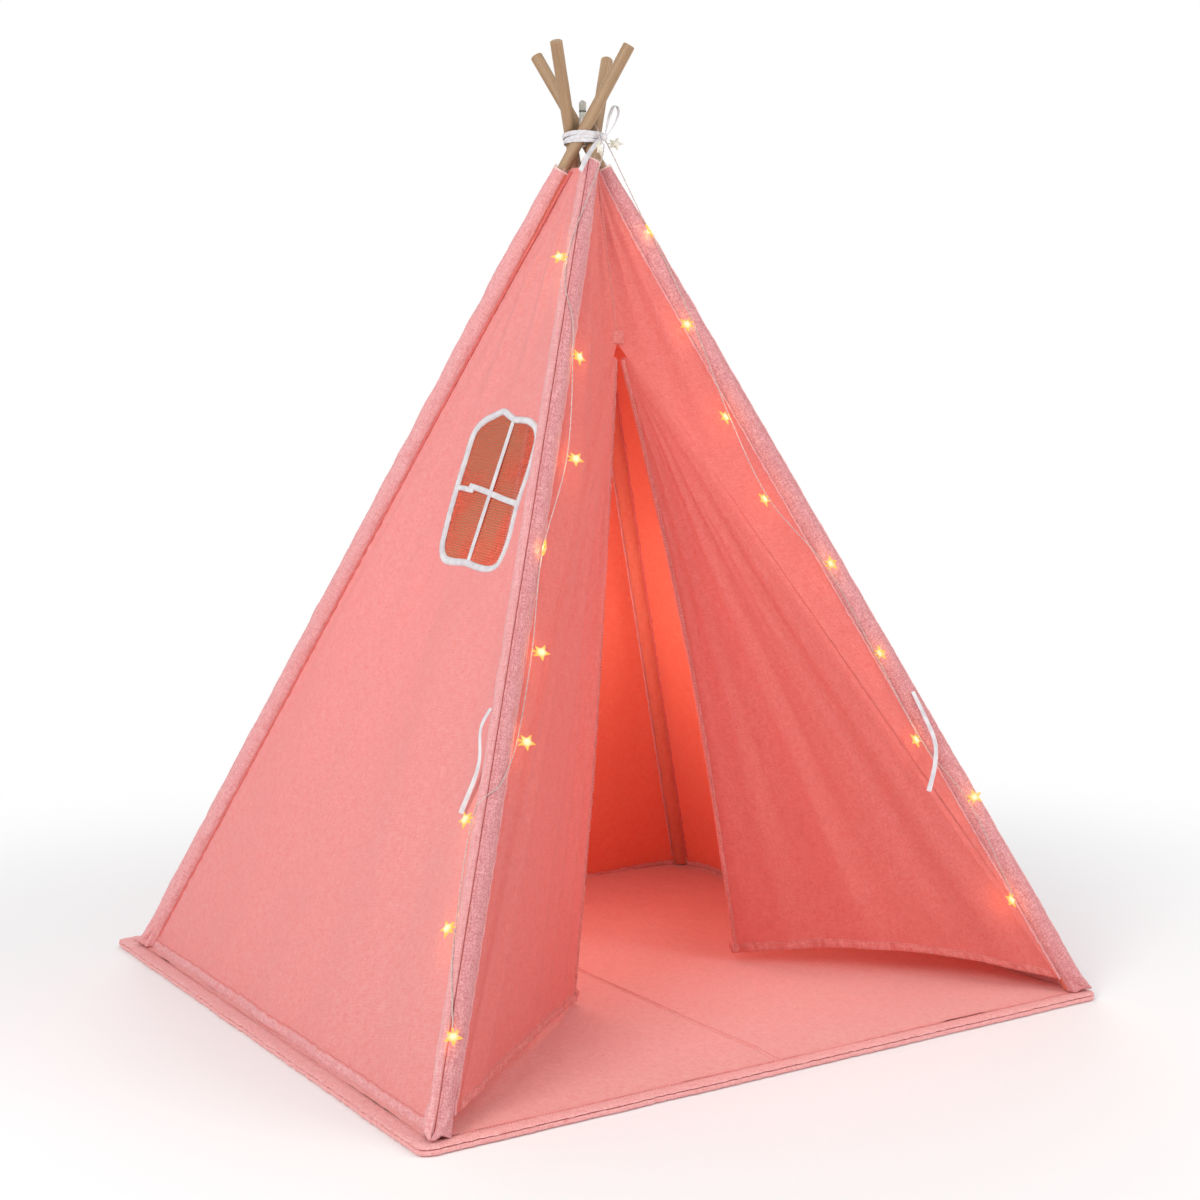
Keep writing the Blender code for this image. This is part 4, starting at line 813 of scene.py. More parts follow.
STRAND_RADIUS, TWIST_PITCH, WIRE_DIAMETER = 0.00055, 0.009, 0.0020
RIBBON_WIDTH, RIBBON_THICKNESS = 0.008, 0.0007
STAR_DOME = ((1.0, 0.0), (0.985, 0.0007), (0.93, 0.0012), (0.72, 0.0020), (0.45, 0.0027), (0.20, 0.0031))
STAR_PEAK, STAR_BEVEL = 0.0032, 0.985
STEM_RADII = (0.0013, 0.0012, 0.0009)
STAR_LAMP_DEPTH = 0.0015
STAR_LAMP_POWER, STAR_LAMP_COLOUR, STAR_LAMP_SIZE = 0.036, (1.0, 0.66, 0.20), 0.004


def twisted_pair(build, route):
    """Two thin strands twisted round each other along a route."""
    steps = (0.2, 0.4, 0.6, 0.8, 1.0)
    fine = np.array([route[0]] + [a.lerp(b, t) for a, b in zip(route, route[1:]) for t in steps])
    side, up = frames_along(fine)
    for phase in (0, pi):
        turn = (2 * pi * lengths(fine) / TWIST_PITCH + phase)[:, None]
        spokes = side * np.cos(turn) + up * np.sin(turn)
        add_tube(build, fine + spokes * STRAND_RADIUS, STRAND_RADIUS, 6)


def star_axes(pole, wire_point, angle):
    up = pole.direction
    outward = wire_point - pole.crossing - up * (wire_point - pole.crossing).dot(up)
    if outward.length > STAR_FACING_REACH:
        outward = Vector((0, -1, 0))
    outward = (outward - up * outward.dot(up)).normalized()
    flat_stem = up.cross(outward) * cos(radians(angle)) + up * sin(radians(angle))
    across = outward.cross(flat_stem)
    stem = flat_stem * cos(STAR_TILT) + outward * sin(STAR_TILT)
    return stem, across, stem.cross(across)


def star_corner(index):
    """One of the star's ten corners, notches and tips by turns."""
    bearing = pi + pi * index / 5
    return Vector((cos(bearing), sin(bearing))) * (STAR_RADIUS if index % 2 else STAR_NOTCH)


def add_star(build, pole, wire_point, angle):
    """A moulded five-pointed star with a ridged face, its stem and its middle."""
    stem, across, face = star_axes(pole, wire_point, angle)
    start = -STAR_NOTCH - STEM_LENGTH
    centre = wire_point - stem * start
    outline = [star_corner(i // 5).lerp(star_corner(i // 5 + 1), i / 5 - i // 5) for i in range(50)]
    size, rings = len(outline), len(STAR_DOME)
    last = (rings - 1) * size
    faces = loop_faces(rings, size, caps=False)
    faces += [(last + i, last + (i + 1) % size, rings * size) for i in range(size)]
    for sign in (1, -1):
        points, cores = [], []
        for share, height in STAR_DOME:
            for x, y in outline:
                reach = hypot(x, y) * share
                ridge = height * (1 - 0.35 * (reach / STAR_RADIUS))
                points.append(centre + stem * (x * share * STAR_BEVEL) + across * (y * share * STAR_BEVEL)
                              + face * sign * ridge)
                cores.append(max(0.0, 1 - reach / (STAR_NOTCH * 1.25)))
        points.append(centre + face * sign * STAR_PEAK)
        build.add(points, faces if sign > 0 else [f[::-1] for f in faces], core=cores + [1.0])
    add_tube(build, [wire_point, wire_point - stem * start * 0.3, centre - stem * STAR_NOTCH * 0.8],
             STEM_RADII)
    return centre, face


def build_lights(side):
    """One string: its twisted wire down the pole's front, with its stars and their warm lamps."""
    pole, word = POLES[side, FRONT], SIDE_WORD[side]
    places = [pole.at_depth(depth) + Vector((x, y, 0)) for depth, x, y, _ in STARS[side]]
    path = smooth_route([LASHING + Vector(point) for point in LEADS[side]] + places, 90)
    route = [on_sleeve(pole, point) for point in path]
    wires, lit, unlit, lamps = Build(), Build(), Build(), []
    twisted_pair(wires, route)
    for index, (star, place) in enumerate(zip(STARS[side], places)):
        if star[3] is None:
            continue
        nearest = min(route, key=lambda point: (point - place).length)
        made = add_star(lit if index else unlit, pole, nearest, star[3])
        if index:
            lamps.append(made)
    wire = wires.object(f"light_wire_{word}", [WIRE])
    stars_lit = lit.object(f"stars_lit_{word}", [STAR_LIT], 30)
    star_unlit = unlit.object(f"star_unlit_{word}", [STAR_UNLIT], 30)
    for index, (centre, face) in enumerate(lamps):
        lamp = add_lamp(f"star_lamp_{word}_{index}", centre - face * STAR_LAMP_DEPTH, STAR_LAMP_POWER,
                        STAR_LAMP_COLOUR, STAR_LAMP_SIZE)
        lamp.parent = stars_lit
    stars_lit.visible_shadow = False
    assign(wire, pole.body, f"light_string_{word}")
    assign(stars_lit, pole.body, None)
    assign(star_unlit, pole.body, None)
    tuple(route[0])
    length_of(route)
    [tuple(p) for p in route]


def hanging_ribbon(name, path, across_at, body, node, curl=0.0):
    """A flat cotton ribbon that hangs from a knot, with soft ripples and a cut end."""
    route = smooth_route(path, 60)
    line = np.array(route, float)
    run = np.gradient(line, axis=0)
    across = np.array([across_at(Vector(r).normalized()).normalized() for r in run])
    turn = np.linspace(0, 1, len(line))
    bend = (curl * turn ** 2)[:, None]
    twisted = across * np.cos(bend) + np.cross(unit(run), across) * np.sin(bend)
    build = Build()
    add_band(build, line, RIBBON_WIDTH * (1 - 0.05 * np.sin(turn * 23) ** 2), twisted, RIBBON_THICKNESS)
    ribbon = build.piece(name, [TAPE], body, node, "white_tape", 50)
    length_of(route)


FRONT_OF_BAND = -(BAND_HALF + 0.001 + GAP) - 0.0035


def build_ribbons():
    for side, normal in ((LEFT, Vector((1, 0, 0))), (RIGHT, Vector((0, -1, 0)))):
        pole, word = POLES[side, FRONT], SIDE_WORD[side]
        path = [pole.at_depth(depth) + Vector((x, y, 0)) for depth, x, y in TIES[side]]
        hanging_ribbon(f"tie_tape_{word}", path, lambda run: run.cross(normal), pole.body,
                       f"tie_ribbon_{word}", 0.5 * side)
    y = FRONT_OF_BAND
    tail = ((KNOT_X - 0.0058, y, -0.004), (-0.008, y - 0.007, -0.022), (-0.028, y - 0.015, -0.045),
            (-0.038, y - 0.019, -0.060))
    hanging_ribbon("bow_tail_tape", [LASHING + Vector(p) for p in tail],
                   lambda run: run.cross(Vector((0, -1, 0.1))), "apex", "bow_tail")


# Cloth

HEM_HEIGHT, HEM_DROP, HEM_THICKNESS = 0.014, 0.0044, 0.0030
FLAP_HEM_HEIGHT, FLAP_HEM_THICKNESS = 0.016, 0.0040
BINDING_WIDTH, BINDING_THICKNESS = 0.0080, 0.0042
BACK_FELL_WIDTH, BACK_FELL_THICKNESS = 0.008, 0.0030
FRONT_FELL_WIDTH, FRONT_FELL_THICKNESS = 0.0055, 0.0026
# the left wall's tuck beside its back sleeve: how deep, how far from the sleeve and how wide
TUCK_DEPTH, TUCK_PLACE, TUCK_WIDTH = 0.0080, 0.019, 0.014
WALL_FOOT_DEPTH = LASHING_HEIGHT - 0.0018
PANEL_STEP = 0.0095
BEND = 0.014


def fold_with(piece, side):
    """Give a piece its own copy of its mesh."""
    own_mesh(piece)


def declare(mid):
    """Work out the area of the cloth's middle surface, which nothing then uses."""
    a, b = mid[1:, 1:] - mid[:-1, :-1], mid[1:, :-1] - mid[:-1, 1:]
    area = float(np.linalg.norm(np.cross(a, b), axis=2).sum() / 2)


def spaced(low, high, coarse, fine=None, ends=0.03, zone=None):
    """Grid lines from low to high: finer near both ends and inside a zone."""
    lines, at = [low], low
    while at < high - 1e-9:
        step = fine if fine and (at - low < ends or high - at < ends) else coarse
        if zone and zone[0] <= at <= zone[1]:
            step = min(step, zone[2])
        at += step
        lines.append(min(at, high))
    if len(lines) > 2 and lines[-1] - lines[-2] < 0.3 * (lines[-2] - lines[-3]):
        del lines[-2]
    return np.array(lines)


def folds(mid, seed, rays, soft, crease, pull=0.0010, both=False):
    """One panel's folds: rays from the lashing, long soft folds, creases and pulls at its seams."""
    draw = np.random.default_rng(seed)
    rates = [(draw.uniform(14, 64), draw.uniform(0, 2 * pi)) for _ in range(6)]
    wide, tight = Ripple(seed + 1, 0.27), Ripple(seed + 2, 0.070)
    seam, slant = Ripple(seed + 3, 0.017), Ripple(seed + 4, 0.11)
    x, y, depth = mid[..., 0] - LASHING.x, mid[..., 1] - LASHING.y, LASHING.z - mid[..., 2]
    span = np.abs(mid[-1, -1] - mid[-1, 0])
    aside = x if span[0] > span[1] else y
    angle = aside / np.maximum(depth, 0.03)
    beams = sum(np.sin(rate * angle + phase) for rate, phase in rates) / len(rates) ** 0.5
    amount = rays * beams * np.clip(depth / 0.16, 0, 1) * np.exp(-depth / 0.55)
    amount = amount + soft * wide(aside, depth * 0.32) * np.clip(depth / 0.5, 0, 1)
    amount = amount + crease * tight(aside, depth * 0.45) * (0.4 + 0.6 * np.abs(slant(aside, depth)))
    from_left, from_right, _ = distances(mid)
    near = np.minimum(from_left, from_right) if both else from_left
    pulls = pull * seam(depth, near * 0.5) * np.exp(-near / 0.014) * np.clip(near / 0.004, 0, 1)
    return amount * smooth_step(near / 0.045) + pulls


def window_spot(point):
    """A wall point's place in the window, across and up."""
    rise_total = WINDOW_SLOPE - (LASHING.z - point[2]) * WALL_LENGTH / LASHING_HEIGHT
    run_total = point[1] - TENT_Y - WINDOW_ACROSS
    run = (run_total - WINDOW_LEAN * rise_total) / (1 - WINDOW_LEAN * WINDOW_TILT)
    return run, rise_total - WINDOW_TILT * run


def inside(shape, x, y):
    hit = False
    for (x1, y1), (x2, y2) in zip(shape, shape[1:] + shape[:1]):
        if (y1 > y) != (y2 > y) and x < x1 + (x2 - x1) * (y - y1) / (y2 - y1):
            hit = not hit
    return hit


def cut_window(build, mid):
    """Take the window's faces out of the wall's sheet and close the opening's rim."""
    inner, count = window_outline(0.0005), mid.shape[0] * mid.shape[1]
    spots = [window_spot(p) for p in mid.reshape(-1, 3)]
    gone = [abs(x) < 0.13 and abs(y) < 0.16 and inside(inner, x, y) for x, y in spots]
    cut = [face for face in build.faces if max(face) < count and all(gone[i] for i in face)]
    edges = {(a, b) for face in cut for a, b in zip(face, face[1:] + face[:1])}
    rim = [(a, b, b + count, a + count) for a, b in edges if (b, a) not in edges]
    kept = [i for i, face in enumerate(build.faces) if not all(gone[k % count] for k in face)]
    build.slots = [build.slots[i] for i in kept] + [0] * len(rim)
    build.faces = [build.faces[i] for i in kept] + rim


def hem_band(build, mid, height, seed, thickness=HEM_THICKNESS, drop=HEM_DROP, sway_by=0.0013):
    """A puckered turned-up hem along the last row of a grid, with its stitch line above."""
    last = mid[-1]
    along = lengths(last)
    at = np.linspace(0, along[-1], max(int(along[-1] / 0.0032), 4))
    line, rise = picked(at, along, last), picked(at, along, unit(mid[-3] - last))
    out = np.cross(unit(np.gradient(line, axis=0)), rise)
    wave = Ripple(seed, 0.0135, 5)
    reach = height * (1 + 0.10 * Ripple(seed + 9, 0.022, 4)(at))
    front, behind = [], []
    for share, fat in ((0, 0.55), (0.12, 1.0), (0.35, 1.25), (0.6, 1.05), (0.85, 0.8), (1.0, 0.15)):
        sway = sway_by * wave(at) * sin(pi * min(share + 0.15, 1))
        spot = line + rise * (share * reach - drop)[:, None] + out * sway[:, None]
        half = out * (thickness / 2 * fat * (1 + 0.22 * wave(at + 0.03)))[:, None]
        front.append(spot + half)
        behind.append(spot - half)
    loop = front + behind[::-1]
    maps = [(a, height * min(s, 11 - s) / 6) for a in at for s in range(len(loop))]
    build.add(np.stack(loop, axis=1), loop_faces(len(at), len(loop), True), HEM_SLOT, maps)
    stitch = line + rise * (reach * 0.86)[:, None]
    for sign in (1, -1):
        lift = sign * (thickness / 2 + 0.0002)
        add_stitches(build, stitch + out * lift, out * sign, HEM_THREAD_SLOT, *HEM_STITCH)


def seam_ridge(build, line, across, out, width, slot, thickness, seed=3):
    """A felled seam along a line of points: a soft ridge with a row of stitches on each side."""
    along = lengths(line)
    at = np.linspace(0, along[-1], max(int(along[-1] / 0.004), 4))
    line, across, out = (picked(at, along, values) for values in (line, across, out))
    wave = Ripple(seed, 0.019, 5)
    mid = line + out * (0.0005 * wave(at))[:, None] + across * (0.0006 * wave(at + 0.4))[:, None]
    add_band(build, mid, width * (1 + 0.08 * wave(at + 0.9)), across, thickness, slot, 0.5)
    for sign in (1, -1):
        add_stitches(build, mid + out * (sign * thickness * 0.66), out * sign, slot + 1, *FELL_STITCH)


def build_side_wall(side):
    """The side wall: one wrinkled sheet with its hem, and on the left the window's opening."""
    word = SIDE_WORD[side]
    front, back = POLES[side, FRONT], POLES[side, BACK]
    zone_u, zone_d = ((0.30, 0.80, 0.0042), (0.41, 0.70, 0.0042)) if side == LEFT else (None, None)
    us = spaced(0, 1, PANEL_STEP, 0.0035, 0.03, zone_u)
    ds = spaced(PANEL_EDGE, WALL_FOOT_DEPTH, 0.0100, 0.0060, 0.05, zone_d)
    mid = sample(lambda u, d: wall_surface(front, back, u, d), us, ds)
    amount = folds(mid, 20 + side, rays=0.0034, soft=0.0050, crease=0.0011, both=True)
    if side == LEFT:
        away = np.linalg.norm(mid - np.array(on_left_wall(0, 0)), axis=2)
        amount = amount * smooth_step((away - 0.125) / 0.10)
        depth, from_back = LASHING.z - mid[..., 2], distances(mid)[1]
        tuck = bell(from_back, TUCK_PLACE, TUCK_WIDTH) * np.exp(-depth / 0.50)
        amount = amount - TUCK_DEPTH * tuck * smooth_step((depth - 0.05) / 0.07)
    mid = pushed(mid, amount)
    build = Build()
    add_sheet(build, mid, inside_slot=INNER_SLOT, top_inside=side == RIGHT)
    if side == LEFT:
        cut_window(build, mid)
    hem_band(build, mid, HEM_HEIGHT, 40 + side)
    wall = build.piece(f"wall_cloth_{word}", WALL_SET, f"{word}_frame", f"{word}_wall", "cotton_light")
    declare(mid)


def build_back(side):
    """One half of the back wall; the left one has the seam under which they meet."""
    word, own, other = SIDE_WORD[side], POLES[side, BACK], POLES[-side, BACK]
    us = spaced(0, 0.5, PANEL_STEP, 0.0045, 0.02)
    ds = spaced(PANEL_EDGE, WALL_FOOT_DEPTH, 0.0110, 0.0060, 0.05)
    mid = sample(lambda u, d: wall_surface(own, other, u, d), us, ds)
    mid = pushed(mid, -side * folds(mid, 31, rays=0.0038, soft=0.0055, crease=0.0010))
    build = Build()
    add_sheet(build, mid, inside_slot=INNER_SLOT, top_inside=side == RIGHT)
    hem_band(build, mid, HEM_HEIGHT, 50 + side)
    if side == LEFT:
        across = np.tile([1.0, 0, 0], (len(mid), 1))
        seam_ridge(build, mid[:, -1], across, grid_normals(mid)[:, -1], BACK_FELL_WIDTH, HEM_SLOT,
                   BACK_FELL_THICKNESS)
    half = build.piece(f"back_cloth_{word}", WALL_SET, f"{word}_frame", f"back_wall_{word}",
                       "cotton_light")
    fold_with(half, side)
    declare(mid)


def turned_in(hinge, before, after, t, bend=BEND):
    """A place on the soft bend between the fixed panel and the flap, t from 0 to 1 through it."""
    start, end = hinge - before * bend, hinge + after * bend
    return start * (1 - t) ** 2 + hinge * (2 * t * (1 - t)) + end * t * t


def front_grid(side):
    """The fixed front panel's grid, which turns into the flap along the fold line."""
    us = np.unique(np.concatenate([spaced(0, 1, 0.020, 0.008, 0.05), [0.985, 0.995]]))
    ds = np.unique(np.concatenate([spaced(PANEL_EDGE, SLIT_DEPTH, 0.0075),
                                   spaced(SLIT_DEPTH, HEM_DEPTH, 0.0105)]))
    high, low = HINGES[side]
    rows = []
    for d in ds:
        row = [front_point(side, u, d) for u in us]
        if d > SLIT_DEPTH:
            inner = front_point(side, 1, d)
            width = (inner - front_point(side, 0, d)).length
            share = (high.z - inner.z) / (high.z - low.z)
            v = max((share - FLAP_TOP_SHARE) / (1 - FLAP_TOP_SHARE), 0)
            toward = (flap_surface(side, 0.03, v) - flap_surface(side, 0, v)).normalized()
            before = (inner - front_point(side, 0.97, d)).normalized()
            fade = min(1, (d - SLIT_DEPTH) / 0.05) * min(1, width / (4 * BEND))
            for i, u in enumerate(us):
                left = (1 - u) * width
                if left < BEND:
                    row[i] = row[i].lerp(turned_in(inner, before, toward, 0.5 * (1 - left / BEND)), fade)
        rows.append(row)
    return np.array(rows, float), ds


def build_front(side):
    """One fixed front panel; the left one has the centre seam above the slit."""
    word = SIDE_WORD[side]
    mid, ds = front_grid(side)
    amount = -side * folds(mid, 61, rays=0.0042, soft=0.0030, crease=0.0006, pull=0.0011)
    lower = smooth_step((LASHING.z - mid[..., 2] - SLIT_DEPTH + 0.02) / 0.03)
    amount *= 1 - lower * (1 - smooth_step(distances(mid)[1] / 0.03))
    mid = pushed(mid, amount)
    build = Build()
    add_sheet(build, mid, inside_slot=INNER_SLOT, top_inside=side == LEFT)
    if side == LEFT:
        keep = ds <= SLIT_DEPTH
        across = np.tile([1.0, 0, 0], (int(keep.sum()), 1))
        seam_ridge(build, mid[keep, -1], across, grid_normals(mid)[keep, -1], FRONT_FELL_WIDTH, HEM_SLOT,
                   FRONT_FELL_THICKNESS)
    panel = build.piece(f"front_cloth_{word}", FRONT_SET, f"{word}_frame", f"front_panel_{word}",
                        "cotton_deep")
    fold_with(panel, side)
    declare(mid)


def build_patch():
    """The patch over the slit's top, with its box of stitches and their diagonal."""
    half_width = FOOT_X * SLIT_DEPTH / LASHING_HEIGHT
    wave = Ripple(77, 0.006, 5)

    def surface(u, v):
        run = u * PATCH_WIDTH
        point = front_point(LEFT if run < 0 else RIGHT, 1 - abs(run) / half_width,
                            SLIT_DEPTH - PATCH_HEIGHT * (1 - v))
        return point + Vector((0, -1, 0)) * (0.0030 + 0.0003 * float(wave(run, v * 0.02)))

    build = Build()
    add_sheet(build, sample(surface, np.linspace(-0.5, 0.5, 21), np.linspace(0, 1, 17)), 0.0013)
    box = np.array([(-0.42, 0.1), (0.42, 0.1), (0.42, 0.92), (-0.42, 0.92), (-0.42, 0.1), (0.42, 0.92)])
    lift, shares = Vector((0, -0.0007, 0)), np.linspace(0, 1, 12)
    for start, end in zip(box, box[1:]):
        line = [surface(*(start + (end - start) * share)) + lift for share in shares]
        add_stitches(build, line, np.tile([0.0, -1, 0.2], (12, 1)), 1, *PATCH_STITCH)
    patch = build.piece("slit_patch_cloth", [BOUND_CLOTH, THREAD], "left_frame", "slit_patch",
                        "cotton_deep")
    fold_with(patch, LEFT)


def flap_grid(side):
    """A door flap's grid: it leaves the fixed panel's bend and falls in folds to its bound edge."""
    columns = np.unique(np.concatenate([np.linspace(0, 0.08, 9), np.linspace(0.08, 1, 84)]))
    rows = np.concatenate([np.linspace(0, 0.06, 7)[:-1], np.linspace(0.06, 1, 130)]) ** 1.15
    high, low = HINGES[side]
    grid = []
    for v in rows:
        hinge = high.lerp(low, FLAP_TOP_SHARE + (1 - FLAP_TOP_SHARE) * v)
        depth = LASHING.z - hinge.z
        width = (flap_surface(side, 1, v) - hinge).length
        toward = (flap_surface(side, 0.03, v) - hinge).normalized()
        inner = front_point(side, 1, depth)
        before = (inner - front_point(side, 0.97, depth)).normalized()
        panel = (inner - front_point(side, 0, depth)).length
        fade = min(1, (depth - SLIT_DEPTH) / 0.05) * min(1, panel / (4 * BEND))
        bend = min(BEND, width * 0.4)
        row = [flap_surface(side, u, v) for u in columns]
        for i, u in enumerate(columns):
            if u * width < bend:
                turned = turned_in(hinge, before, toward, 0.5 + 0.5 * u * width / bend, bend)
                row[i] = row[i].lerp(turned, fade)
        grid.append(row)
    return np.array(grid, float), rows


def flap_folds(side, mid, vs):
    """How far a flap's cloth stands out: rays from its fold, soft waves and a gather at the knot."""
    from_hinge, from_edge, fall = distances(mid)
    corner = mid[-1, -1]
    to_corner = np.linalg.norm(mid - corner, axis=2)
    share = np.broadcast_to(np.linspace(0, 1, mid.shape[1]), mid.shape[:2])
    place = share * from_hinge[-1, -1]
    draw = np.random.default_rng(90 + side)
    beams = [(draw.uniform(9, 34), draw.uniform(0, 2 * pi)) for _ in range(5)]
    rays = sum(np.sin(rate * share * 1.6 + phase) for rate, phase in beams) / 5 ** 0.5
    amount = 0.0022 * rays * np.clip(fall / 0.35, 0, 1)
    amount += 0.0040 * Ripple(93 + side, 0.16)(place, fall * 0.22) * np.clip(fall / 0.4, 0, 1)
    amount += 0.0007 * Ripple(96 + side, 0.050)(place, fall * 0.4)
    angle = np.arctan2(mid[..., 2] - corner[2], np.abs(mid[..., 0] - corner[0]) + 1e-4)
    amount += (0.0032 * np.sin(angle * 17 + 1.0) * np.exp(-to_corner / 0.16)
               * np.clip(to_corner / 0.02, 0, 1))
    amount *= smooth_step(from_hinge / 0.05) * (0.35 + 0.65 * smooth_step(from_edge / 0.03))
    return amount * (1 - 0.65 * smooth_step((vs[:, None] - 0.80) / 0.20))


def flap_piece(build, side, name, materials, node, sharp=40):
    """A finished piece of a door flap, carried by the door's body."""
    word = SIDE_WORD[side]
    piece = build.piece(f"{name}_{word}", materials, f"door_{word}", f"{node}_{word}", "cotton_deep", sharp)
    fold_with(piece, side)
    return piece


def build_flap_binding(side, mid):
    """The flap's bound free edge with its stitches."""
    edge = mid[:, -1]
    inward = unit(mid[:, -2] - edge)
    outward = unit(np.cross(np.gradient(edge, axis=0), inward))
    line = edge + inward * 0.0024
    along = lengths(line)
    at = np.linspace(0.004, along[-1] - 0.003, int(along[-1] / 0.0034))
    row, way, out, sewn = (picked(at, along, v) for v in (line, inward, outward, line + inward * 0.0022))
    wave = Ripple(70 + side, 0.015, 5)
    build = Build()
    add_band(build, row + out * (0.0008 * wave(at))[:, None], BINDING_WIDTH * (1 + 0.12 * wave(at + 0.2)),
             way, BINDING_THICKNESS, 0, 0.6)
    for sign in (1, -1):
        add_stitches(build, sewn + out * sign * 0.0027, out * sign, 1, *FELL_STITCH)
    return flap_piece(build, side, "door_binding", [BOUND_CLOTH, THREAD], "flap_binding", 60)


def build_flap_knot(side, mid):
    """The knot in the flap's free corner, with its short end."""
    inward = unit(mid[-1, -2] - mid[-1, -1])
    middle = Vector(mid[-1, -1] - inward * 0.002) + Vector((0, 0, 0.012))
    turns = np.linspace(0, 2 * pi, 64)
    trefoil = np.stack([(np.sin(turns) + 2 * np.sin(2 * turns)) * 0.0019,
                        -0.8 * np.sin(3 * turns) * 0.0028,
                        (np.cos(turns) - 2 * np.cos(2 * turns)) * 0.0028], axis=1)
    build = Build()
    add_tube(build, trefoil + np.array(middle), 0.0036 + 0.0005 * np.sin(turns * 9), 10)
    stub = [middle + Vector((0.0006 * k, -0.0006 * k, -0.0062 - 0.0018 * k)) for k in range(4)]
    add_tube(build, stub, [0.0034, 0.0036, 0.0034, 0.0022])
    return flap_piece(build, side, "door_knot", [BOUND_CLOTH], "flap_toggle", 70)


def build_flap(side):
    """A door flap tied back: its cloth with a gathered hem, its bound edge and its corner knot."""
    mid, vs = flap_grid(side)
    mid = pushed(mid, flap_folds(side, mid, vs))
    build = Build()
    add_sheet(build, mid, inside_slot=INNER_SLOT, top_inside=side == LEFT)
    hem_band(build, mid[:, 1:], FLAP_HEM_HEIGHT, 60 + side, FLAP_HEM_THICKNESS, drop=0.0, sway_by=0.0030)
    flap = flap_piece(build, side, "door_cloth", FRONT_SET, "door_flap")
    trims = [build_flap_binding(side, mid), build_flap_knot(side, mid)]
    declare(mid)


# Sleeves and poles

SLEEVE_SIDES, SLEEVE_PLEATS = 56, 11
SLEEVE_FLOOR, SLEEVE_FULL_DEPTH = MAT_TOP + 0.0005, 0.157
# how far the sleeve's features stand out or in: the raw top edge, the seam and the gathered foot
RAW_FLARE, RAW_RUFFLE, RAW_FADE = 0.0024, 0.0011, 0.014
SEAM_RISE, SEAM_GROOVE, SIDE_DENT = 0.0010, 0.0021, 0.0008
GATHER_HEIGHT, GATHER_LOBE, GATHER_PLEAT, GATHER_CLEFT = 0.085, 0.0022, 0.0007, 0.0034
FRAY_COUNT, FRAY_RADII = 46, (0.00028, 0.00024, 0.00015)
LOBE_POINTS = 30
LOBE_PATH = ((-0.0230, 0.0086, 0.0440), (-0.0110, 0.0094, 0.0290), (0.0010, 0.0092, 0.0180),
             (0.0095, 0.0072, 0.0112), (0.0165, 0.0040, 0.0066), (0.0215, 0.0012, 0.0042))
LOBE_SHARES, LOBE_RADII = (0, 0.3, 0.6, 0.85, 1), (0.0050, 0.0074, 0.0072, 0.0046, 0.0018)
MAIN_SLOT, RIDGE_SLOT, RAW_SLOT, STRIP_SLOT, INSIDE_GLOW_SLOT, SEWN_SLOT = range(6)


